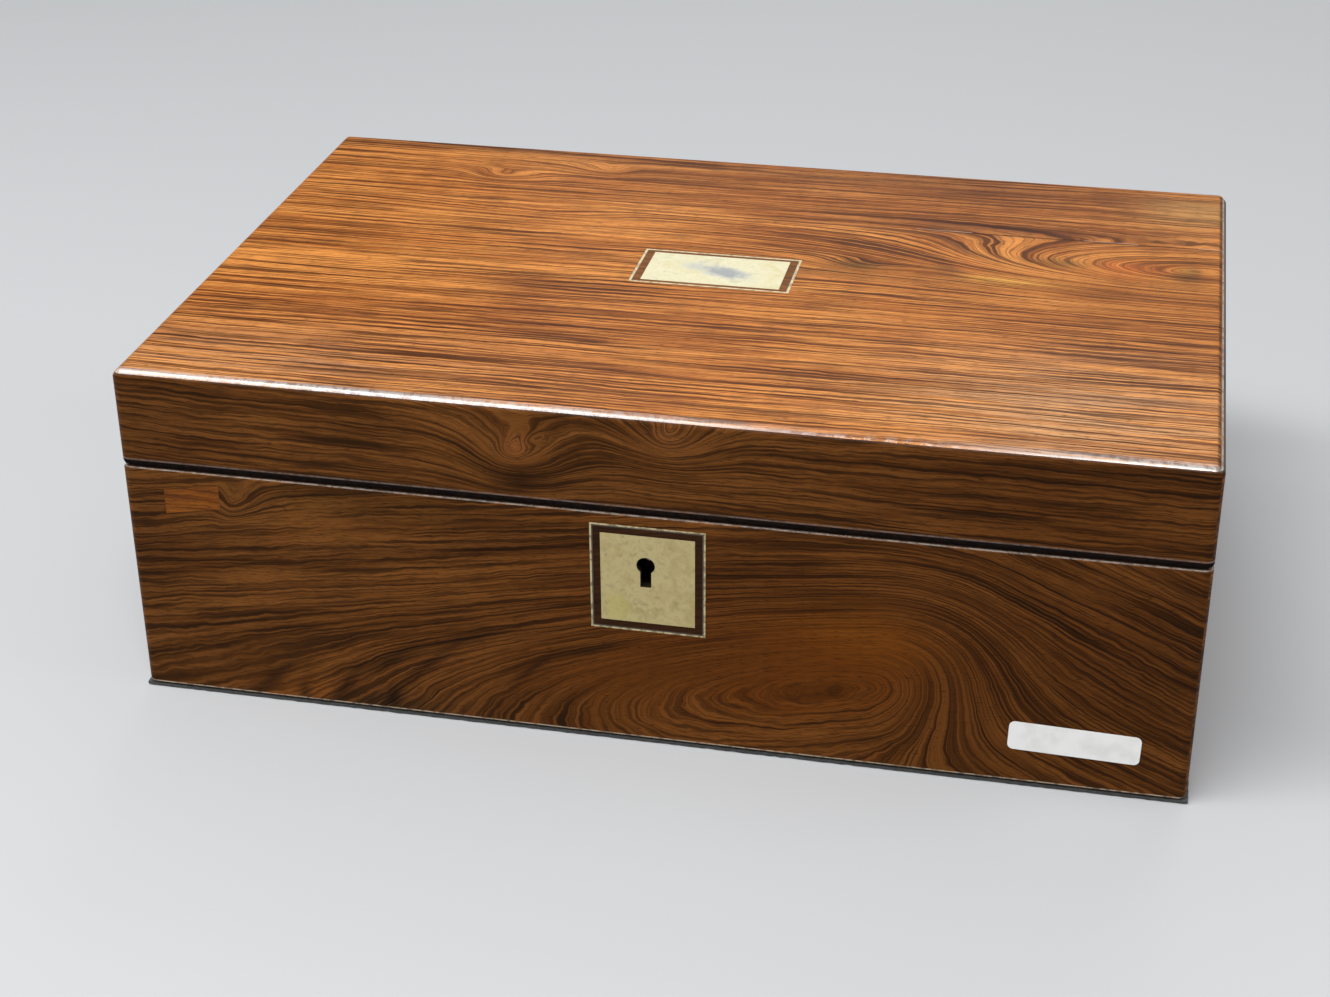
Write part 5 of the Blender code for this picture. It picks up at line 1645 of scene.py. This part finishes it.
@dataclass(frozen=True)
class Underside:
    """The cloth glued under the base: a sheet with a ragged, fuzzy edge."""

    low: Vector
    high: Vector
    cells: tuple[int, int] = (175, 115)
    fuzz: float = 0.0010
    fuzz_size: float = 0.0024
    fuzz_layers: int = 3
    corner: float = 0.0035
    corner_steps: int = 6

    def build(self) -> Workpiece:
        """Lay out a fine grid, give it its thickness and fray it.

        Returns:
            The cloth.
        """
        size = self.high - self.low
        cloth = Workpiece.grid("base_cloth", self.cells, (size.x, size.y),
                               (0, 0, self.high.z - self.fuzz / 2))
        cloth.modify("SOLIDIFY", thickness=size.z - self.fuzz, offset=-1)
        cloth.wrinkle(self.fuzz_size, self.fuzz_layers, self.fuzz)
        reach = Vector((self.fuzz, self.fuzz, self.fuzz))
        outline = Workpiece.block("cloth_outline", self.low - reach, self.high + reach)
        outline.round_edges(is_upright, self.corner, self.corner_steps)
        return cloth.join(outline, Joinery.KEEP)

    def dress(self, cloth: Workpiece) -> None:
        """Give the cloth its wool.

        Args:
            cloth: The cloth.
        """
        felt = Felt("charcoal_felt", (0.050, 0.051, 0.046), (0.26, 0.25, 0.21))
        size = self.high - self.low
        cloth.finish(felt.material(), "base", "felt", "underside_felt")


@dataclass(frozen=True)
class Ticket:
    """A small blank paper label stuck to the front, its corners round."""

    box: BoxShape
    centre_x: float = 0.1378
    centre_z: float = 0.0188
    width: float = 0.0412
    height: float = 0.0103
    corner: float = 0.0019
    thickness: float = 0.00014
    lean: float = math.radians(-1.6)
    steps: int = 6

    def build(self) -> Workpiece:
        """Cut the label, round its corners and press it on.

        Returns:
            The label.
        """
        half = Vector((self.width / 2, self.thickness / 2, self.height / 2))
        label = Workpiece.block("blank_label", -half, half)
        label.round_edges(
            lambda edge: abs(edge.verts[0].co.y - edge.verts[1].co.y) > self.thickness / 2,
            self.corner, self.steps)
        face = -self.box.half_depth - self.thickness / 2 - HAIRLINE / 2
        place = Matrix.Translation((self.centre_x, face, self.centre_z))
        return label.place(place @ Matrix.Rotation(-self.lean, 4, "Y"))

    def dress(self, label: Workpiece) -> None:
        """Give the label its paper."""
        paper = Paper("label_paper", (0.80, 0.80, 0.78), (0.62, 0.61, 0.58))
        label.finish(paper.material(), "base", "line_inlay")


@dataclass(frozen=True)
class Writing:
    """The two skivers of leather glued on the writing flaps."""

    box: BoxShape
    cells: tuple[int, int] = (150, 80)
    sink: float = 0.0014
    thickness: float = 0.0009
    ripple: float = 0.00016
    ripple_size: float = 0.030
    ripple_layers: int = 2
    edge: float = 0.0003
    edge_steps: int = 2
    edge_angle: float = math.radians(60)

    def extent(self, half: Half) -> tuple[float, float, float]:
        """Return where a leather starts and ends behind the hinge, and half its width.

        Args:
            half: Which half of the box it is on.

        Returns:
            Its start, its end and half its width.
        """
        low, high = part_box(f"{half.value}_flap_leather")
        slope, hinge = self.box.slope, self.box.hinge
        lifts = (self.sink, self.sink + self.thickness)
        if half is Half.BASE:
            lifts = (-lifts[1], -lifts[0])
        ends = [(y - hinge.y - lift * math.sin(slope)) / math.cos(slope)
                for y, lift in zip((low.y, high.y), lifts)]
        return ends[0], ends[1], (high.x - low.x) / 2

    def build(self, half: Half) -> Workpiece:
        """Cut one leather and press it on, a little rippled.

        Args:
            half: Which half of the box it is on.

        Returns:
            The leather.
        """
        start, end, half_width = self.extent(half)
        sign = -1 if half is Half.BASE else 1
        face = sign * (self.sink + self.ripple / 2)
        leather = Workpiece.grid(f"{half.value}_writing_leather", self.cells,
                                 (2 * half_width, end - start), (0, (start + end) / 2, face))
        leather.wrinkle(self.ripple_size, self.ripple_layers, self.ripple)
        leather.modify("SOLIDIFY", thickness=self.thickness - self.ripple, offset=sign)
        leather.modify("BEVEL", width=self.edge, segments=self.edge_steps,
                       angle_limit=self.edge_angle)
        tilt = Matrix.Rotation(-self.box.slope, 4, "X")
        return leather.place(Matrix.Translation(self.box.hinge) @ tilt).shade()

    def dress(self, half: Half, leather: Workpiece) -> None:
        """Dye one leather and tool its gilt line.

        Args:
            half: Which half of the box it is on.
            leather: The leather.
        """
        start, end, half_width = self.extent(half)
        middle = self.box.hinge.y + math.cos(self.box.slope) * (start + end) / 2
        skiver = Leather(f"{half.value}_green_skiver", (0.020, 0.062, 0.040),
                         (0.085, 0.105, 0.055), (0.62, 0.43, 0.15), half_width, middle,
                         (end - start) / 2, self.box.slope)
        leather.finish(skiver.material(), half.value, "leather",
                           f"{half.value}_flap_leather")
        2 * half_width
        end - start


@dataclass(frozen=True)
class InkWells:
    """Two square glass ink bottles with turned brass caps."""

    wall: float = 0.0030
    edge: float = 0.0035
    bore: float = 0.0070
    neck: float = 0.0095
    neck_height: float = 0.0080
    neck_taper: float = 0.96
    cap_wall: float = 0.0012
    dome: float = 0.0040
    dome_steps: int = 10
    tip_share: float = 0.04
    groove_share: float = 0.035
    skirt_rings: tuple[int, ...] = (0, 0, -1, 0, 0, -1, 0)
    play: float = 0.0003
    steps: int = 6

    def bottle(self, hand: str) -> Workpiece:
        """Press one bottle: a square body with rounded edges, hollow, with a turned neck.

        Args:
            hand: Which of the two.

        Returns:
            The bottle.
        """
        low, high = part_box(f"ink_bottle_{hand}")
        middle = (low + high) / 2
        shoulder = high.z - self.neck_height
        bottle = Workpiece.block(f"{hand}_ink_bottle", low, (high.x, high.y, shoulder))
        bottle.round_edges(lambda edge: True, self.edge, self.steps)
        neck = Workpiece.turned("neck", (
            (self.neck, shoulder - self.wall / 2), (self.neck, high.z - self.neck_height / 8),
            (self.neck * self.neck_taper, high.z)))
        neck.place(Matrix.Translation((middle.x, middle.y, 0)))
        bottle.join(neck, Joinery.ADD)
        wall = Vector((self.wall,) * 3)
        hollow = Workpiece.block("hollow", low + wall, Vector((high.x, high.y, shoulder)) - wall)
        hollow.round_edges(lambda edge: True, self.edge * 0.8, self.steps)
        bore = Workpiece.turned("bore", (
            (self.bore, shoulder - 2 * self.wall), (self.bore, high.z + OVERRUN)))
        bore.place(Matrix.Translation((middle.x, middle.y, 0)))
        hollow.join(bore, Joinery.ADD)
        return bottle.join(hollow).shade()

    def cap(self, hand: str) -> Workpiece:
        """Turn one brass cap: a shallow dome with a bead and two grooves round its skirt.

        Args:
            hand: Which of the two.

        Returns:
            The cap.
        """
        low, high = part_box(f"ink_bottle_cap_{hand}")
        radius = (high.x - low.x) / 2
        skirt = high.z - self.dome
        ceiling = skirt - self.cap_wall
        inside = self.neck + self.play
        groove = radius * self.groove_share
        profile = [(inside, ceiling), (inside, low.z), (radius - groove, low.z)]
        height = (skirt - low.z) / (len(self.skirt_rings) + 1)
        for number, ring in enumerate(self.skirt_rings, 1):
            profile.append((radius + ring * groove, low.z + number * height))
        for number in range(self.dome_steps):
            angle = math.pi / 2 * number / self.dome_steps
            profile.append((radius * math.cos(angle), skirt + self.dome * math.sin(angle)))
        profile.append((radius * self.tip_share, high.z))
        cap = Workpiece.turned(f"{hand}_ink_cap", profile)
        middle = (low + high) / 2
        return cap.place(Matrix.Translation((middle.x, middle.y, 0))).shade()

    def build(self) -> None:
        """Make and dress both bottles and both caps."""
        glass = Glass("ink_glass", (0.90, 0.95, 0.91)).material()
        brass = Metal("cap_brass", (0.66, 0.47, 0.19), (0.18, 0.11, 0.04), 0.24, 0.4).material()
        for hand in ("left", "right"):
            self.bottle(hand).finish(glass, "base", "glass", f"ink_bottle_{hand}")
            self.cap(hand).finish(brass, "base", "brass", f"ink_bottle_cap_{hand}")


@dataclass(frozen=True)
class Screw:
    """One slotted screw: where its head is, which way it drives and how large it is."""

    name: str
    body: str
    head: Vector
    drive: Vector
    head_radius: float
    head_height: float
    shank_radius: float
    length: float
    turn: float
    node: str = ""
    sides: int = 32
    chamfer_share: float = 0.12
    point_start: float = 0.8
    point_share: float = 0.3
    slot_width_share: float = 0.22
    slot_depth_share: float = 0.45

    def build(self) -> Workpiece:
        """Turn the screw, cut its slot and drive it home.

        Returns:
            The screw in its place.
        """
        radius = self.head_radius
        chamfer = self.head_height * self.chamfer_share
        profile = [(radius - chamfer, 0.0), (radius, chamfer), (self.shank_radius, self.head_height)]
        if self.length > self.head_height:
            profile.append((self.shank_radius, self.length * self.point_start))
            profile.append((self.shank_radius * self.point_share, self.length))
        screw = Workpiece.turned(self.name, profile, self.sides)
        width = radius * self.slot_width_share / 2
        depth = self.head_height * self.slot_depth_share
        slot = Workpiece.block("slot", (-2 * radius, -width, -depth), (2 * radius, width, depth))
        slot.place(Matrix.Rotation(math.radians(self.turn), 4, "Z"))
        screw.join(slot)
        way = self.drive.to_track_quat("Z", "Y").to_matrix().to_4x4()
        return screw.place(Matrix.Translation(self.head) @ way)


@dataclass(frozen=True)
class Fixings:
    """All the screws of the lock, the links, the catch and the hinges."""

    box: BoxShape
    hinge_screw_radius: float = 0.00094
    hinge_screw_spacing: float = 0.0140
    hinge_screw_along: float = -0.0053
    leaf_face: float = 0.00032
    leaf_thickness: float = 0.0010
    leaf_share: float = 0.9
    link_face: float = 0.00025
    catch_head: float = 0.0018
    TURNS = (12, 67, -31, 48, -8, 85, 23, -52, 34, 5, -74, 58)
    LOCK_TURNS = {"left": 20, "right": -65}
    LINK_TURNS = {"left": 75, "right": -15}
    catch_turn: float = 35

    # Head radius, head height, shank radius and length
    plate_screw: tuple[float, ...] = (0.0020, 0.0010, 0.0011, 0.0050)
    catch_screw: tuple[float, ...] = (0.0022, 0.0010, 0.0011, 0.0090)

    def at(self, x: float, along: float, lift: float) -> Vector:
        """Return a point given along the slope behind the hinge and square to the seam.

        Args:
            x: Place along the hinge.
            along: How far behind it.
            lift: How far above the seam.

        Returns:
            The point.
        """
        slope = self.box.slope
        run = Vector((0, math.cos(slope), -math.sin(slope)))
        return self.box.hinge + Vector((x, 0, 0)) + run * along + self.box.seam_normal * lift

    def screws(self) -> list[Screw]:
        """List the screws of the lock, the link plate and the catch.

        Returns:
            The screws.
        """
        up = self.box.seam_normal
        made = []
        for hand in ("left", "right"):
            low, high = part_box(f"lock_screw_{hand}")
            middle = (low + high) / 2
            middle.y = high.y
            made.append(Screw(f"{hand}_lock_screw", "base", middle, Vector((0, -1, 0)),
                              *self.plate_screw, self.LOCK_TURNS[hand], f"lock_screw_{hand}"))
            low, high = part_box(f"link_plate_screw_{hand}")
            along = ((low.y - self.box.hinge.y - self.link_face * up.y) / up.z
                     + self.plate_screw[0])
            made.append(Screw(f"{hand}_link_screw", "lid",
                              self.at((low.x + high.x) / 2, along, self.link_face), up,
                              *self.plate_screw, self.LINK_TURNS[hand],
                              f"link_plate_screw_{hand}"))
        catch = Vector(next(joint["pos_m"] for joint in frame["joints"]
                            if joint["name"] == "catch_turn"))
        made.append(Screw("catch_screw", "lid", catch - up * self.catch_head, up,
                          *self.catch_screw, self.catch_turn, "flap_catch_screw"))
        return made

    def hinge_screws(self) -> list[Screw]:
        """List the screws that hold the four hinge leaves.

        Returns:
            The screws.
        """
        made = []
        for hand in ("left", "right"):
            low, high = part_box(f"hinge_{hand}_pin")
            centre = (low.x + high.x) / 2
            for body, sign in (("base", -1), ("lid", 1)):
                for step in (-1, 0, 1):
                    head = self.at(centre + step * self.hinge_screw_spacing,
                                   self.hinge_screw_along, sign * self.leaf_face)
                    made.append(Screw(
                        f"hinge_{hand}_{body}_screw_{step + 2}", body, head,
                        self.box.seam_normal * sign, self.hinge_screw_radius,
                        self.leaf_thickness * self.leaf_share,
                        self.hinge_screw_radius * self.leaf_share,
                        self.leaf_thickness, self.TURNS[len(made)]))
        return made

    def build(self) -> None:
        """Make and dress all the screws."""
        iron = Metal("screw_iron", (0.36, 0.35, 0.33), (0.08, 0.055, 0.04), 0.34, 0.6).material()
        brass = Metal("screw_brass", (0.58, 0.41, 0.16), (0.15, 0.09, 0.035), 0.3, 0.6).material()
        for screw in self.screws():
            slot, metal = ("brass", brass) if screw.name == "catch_screw" else ("iron", iron)
            screw.build().shade().finish(metal, screw.body, slot, screw.node)
        for screw in self.hinge_screws():
            screw.build().shade().finish(iron, screw.body, "iron")


class Dressing:
    """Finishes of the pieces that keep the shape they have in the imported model."""

    REDDISH = {"pale": (0.210, 0.085, 0.038), "dark": (0.095, 0.036, 0.018)}

    # The wooden pieces by the way their grain runs
    TIMBERS = {
        Plane.FRONT: ("base_front_board", "base_back_board", "lid_front_board", "lid_back_board",
                      "pen_well_rail", "base_back_ledge", "lid_front_ledge", "lid_back_ledge"),
        Plane.SIDE: ("base_left_board", "base_right_board", "lid_left_board", "lid_right_board",
                     "ink_well_partition_left", "ink_well_partition_right"),
        Plane.TOP: ("base_bottom_board", "lid_top_board", "pen_tray"),
    }

    def dress(self) -> None:
        """Put a finish on every node that stays."""
        # Painted shade: where the parts seen through the keyhole are darkened.
        keyhole_shade_spot = Swell(0.0012, 0.0612, 0.008, 0.008, 0.010)
        for plane, names in self.TIMBERS.items():
            timber = PlainTimber(f"mahogany_{plane.name.lower()}", plane, **self.REDDISH,
                                 soot=keyhole_shade_spot if plane is Plane.FRONT else None)
            self.put_on(timber.material(), *names)
        flap = Rosewood("flap_rosewood", Plane.TOP, (0.172, 0.058, 0.0095),
                        (0.088, 0.028, 0.0050), (0.040, 0.0140, 0.0036), offset=21.0)
        self.put_on(flap.material(), "base_flap_board", "lid_flap_board")
        top = Pearl(
            "name_plate_pearl", Plane.TOP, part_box("name_plate")[1].z,
            (0.66, 0.61, 0.37), (0.60, 0.52, 0.23),
            make_stains(
                ((0.001, 0.0030, 0.019, 0.016, 0.0062, 0.0, -0.30), (0.38, 0.40, 0.36), 0.8),
                ((0.002, 0.0030, 0.008, 0.010, 0.0040, 0.0, -0.35), (0.19, 0.21, 0.21), 0.8)),
            0.12)
        self.put_on(top.material(), "name_plate")
        # The keyhole's pearl is darker and more olive than the name plate's: partly its own colour, partly
        # painted shade of the front.
        keyhole = Pearl(
            "keyhole_pearl", Plane.FRONT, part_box("escutcheon_plate")[0].y,
            (0.43, 0.350, 0.150), (0.35, 0.27, 0.090),
            make_stains(((-0.010, 0.051, 0.004, 0.006, 0.006), (0.40, 0.34, 0.085), 0.7)), 0.40)
        self.put_on(keyhole.material(), "escutcheon_plate")
        for node, plane, breadth, pale, dull, inside in (
                ("name_plate_line", Plane.TOP, 0.00085, (0.66, 0.55, 0.29),
                 (0.34, 0.24, 0.10), (0.115, 0.042, 0.010)),
                ("escutcheon_line", Plane.FRONT, 0.00058, (0.46, 0.38, 0.20),
                 (0.20, 0.140, 0.060), (0.022, 0.010, 0.004))):
            low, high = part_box(node)
            upright = plane.value[1]
            inner = Panel((low.x + breadth, low[upright] + breadth),
                          (high.x - breadth, high[upright] - breadth), inside, 0.95, 0.00008)
            self.put_on(LineInlay(f"pale_{node}", plane, pale, dull, inner).material(), node)
        patch = Rosewood("patch_satinwood", Plane.FRONT, (0.260, 0.082, 0.0100),
                         (0.175, 0.050, 0.0070), (0.105, 0.030, 0.0045), offset=31.0, lines=0.5)
        self.put_on(patch.material(), "veneer_patch")
        brass = Metal("aged_brass", (0.62, 0.43, 0.16), (0.16, 0.095, 0.035), soot=keyhole_shade_spot)
        self.put_on(brass.material(), "hinge_left_base_leaf", "hinge_left_lid_leaf",
                    "hinge_right_base_leaf", "hinge_right_lid_leaf", "lock_plate",
                    "lock_bolt", "link_plate", "flap_catch")
        iron = Metal("dark_iron", (0.34, 0.33, 0.32), (0.07, 0.05, 0.04), 0.36, 0.7)
        self.put_on(iron.material(), "hinge_left_pin", "hinge_right_pin", "lock_spring",
                    "lock_key_pin")
        # Painted shade: the lock case, seen through the keyhole, is brass painted near black.
        case = Metal("sooty_brass", (0.060, 0.045, 0.025), (0.015, 0.011, 0.008), 0.5, 0.8)
        self.put_on(case.material(), "lock_case")

    @staticmethod
    def put_on(material: bpy.types.Material, *names: str) -> None:
        """Assign a material to the slots of some nodes.

        Args:
            material: The material.
            names: The nodes.
        """
        for name in names:
            for place in frame["nodes"][name].material_slots:
                place.material = material
            LOG.info("dressed %s", name)


@dataclass(frozen=True)
class Studio:
    """A pale floor, soft light and the camera at the photograph's place."""

    camera_place: Point = (0.14075, -0.73426, 0.43045)
    camera_turn: Point = (61.8782, 0.3013, 12.0275)
    lens: float = 62.858
    sensor: float = 36.0
    floor_size: float = 6.0
    floor_grey: Colour = (0.56, 0.57, 0.58)
    floor_roughness: float = 0.6
    sky: tuple[float, ...] = (0.78, 0.80, 0.83, 1)
    sky_strength: float = 0.36
    nearest: float = 0.01

    # Name, place, aim, size and power of each lamp
    LAMPS = (
        ("key", (-0.30, -0.75, 1.55), (0, 0, 0.10), (1.6, 0.45), 22.5),
        ("edge_strip", (-0.30, -0.70, 1.56), (0, -0.1, 0.10), (1.6, 0.14), 6.0),
        ("back_light", (0.1, 1.5, 1.1), (0, 0, 0.08), (1.4, 1.0), 6.0),
        ("front_fill", (0.3, -1.8, 0.7), (0, 0, 0.05), (1.4, 1.0), 4.0),
        ("left_fill", (-1.7, -0.2, 0.8), (0, 0, 0.05), (1.0, 1.0), 7.0),
        ("right_fill", (1.7, 0.1, 0.9), (0, 0, 0.05), (1.0, 1.0), 6.0))

    def build(self) -> None:
        """Set up the floor, the lamps and the camera."""
        self.floor()
        for lamp in self.LAMPS:
            self.lamp(*lamp)
        self.world()
        self.camera()
        bpy.context.scene.view_settings.view_transform = "Standard"

    def floor(self) -> None:
        """Lay a wide plain floor."""
        lay_down_tools()
        bpy.ops.mesh.primitive_plane_add(size=self.floor_size, location=(0, 0, 0))
        floor = bpy.context.object
        floor.name = "studio_floor"
        sheet = ShaderSheet("studio_floor")
        tone = sheet.noise(sheet.place, 1.5, 2.0)
        colour = sheet.mix(tone, dimmed(self.floor_grey, 0.97), self.floor_grey)
        floor.data.materials.append(
            sheet.close({"Base Color": colour}, {"Roughness": self.floor_roughness}))

    @staticmethod
    def lamp(name: str, place: Point, aim: Point, size: tuple[float, float], power: float) -> None:
        """Hang a rectangular soft light.

        Args:
            name: Its name.
            place: Where it hangs.
            aim: The point it faces.
            size: Its width and height.
            power: Its power in watts.
        """
        light = bpy.data.lights.new(name, "AREA")
        light.shape = "RECTANGLE"
        light.size, light.size_y = size
        light.energy = power
        lamp = bpy.data.objects.new(name, light)
        bpy.context.scene.collection.objects.link(lamp)
        lamp.location = place
        lamp.rotation_euler = (Vector(aim) - Vector(place)).to_track_quat("-Z", "Y").to_euler()

    def world(self) -> None:
        """Fill the surroundings with an even pale grey."""
        world = bpy.data.worlds.new("studio_world")
        world.use_nodes = True
        background = world.node_tree.nodes["Background"]
        background.inputs["Color"].default_value = self.sky
        background.inputs["Strength"].default_value = self.sky_strength
        bpy.context.scene.world = world

    def camera(self) -> None:
        """Put the camera where the photograph was taken from."""
        lens = bpy.data.cameras.new("photo_camera")
        lens.sensor_fit = "HORIZONTAL"
        lens.sensor_width = self.sensor
        lens.lens = self.lens
        lens.clip_start = self.nearest
        camera = bpy.data.objects.new("photo_camera", lens)
        bpy.context.scene.collection.objects.link(camera)
        camera.location = self.camera_place
        camera.rotation_euler = Euler([math.radians(angle) for angle in self.camera_turn], "XYZ")
        bpy.context.scene.camera = camera


def main() -> None:
    """Build and dress the writing slope, then light it."""
    logging.basicConfig(level=logging.INFO, format="%(name)s: %(message)s")
    box = BoxShape.from_frame()
    veneers = Veneers(box)
    veneers.dress(veneers.build())
    underside = Underside(*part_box("underside_felt"))
    underside.dress(underside.build())
    ticket = Ticket(box)
    ticket.dress(ticket.build())
    writing = Writing(box)
    for half in Half:
        writing.dress(half, writing.build(half))
    InkWells().build()
    Fixings(box).build()
    Dressing().dress()
    Studio().build()


if __name__ == "__main__":
    main()
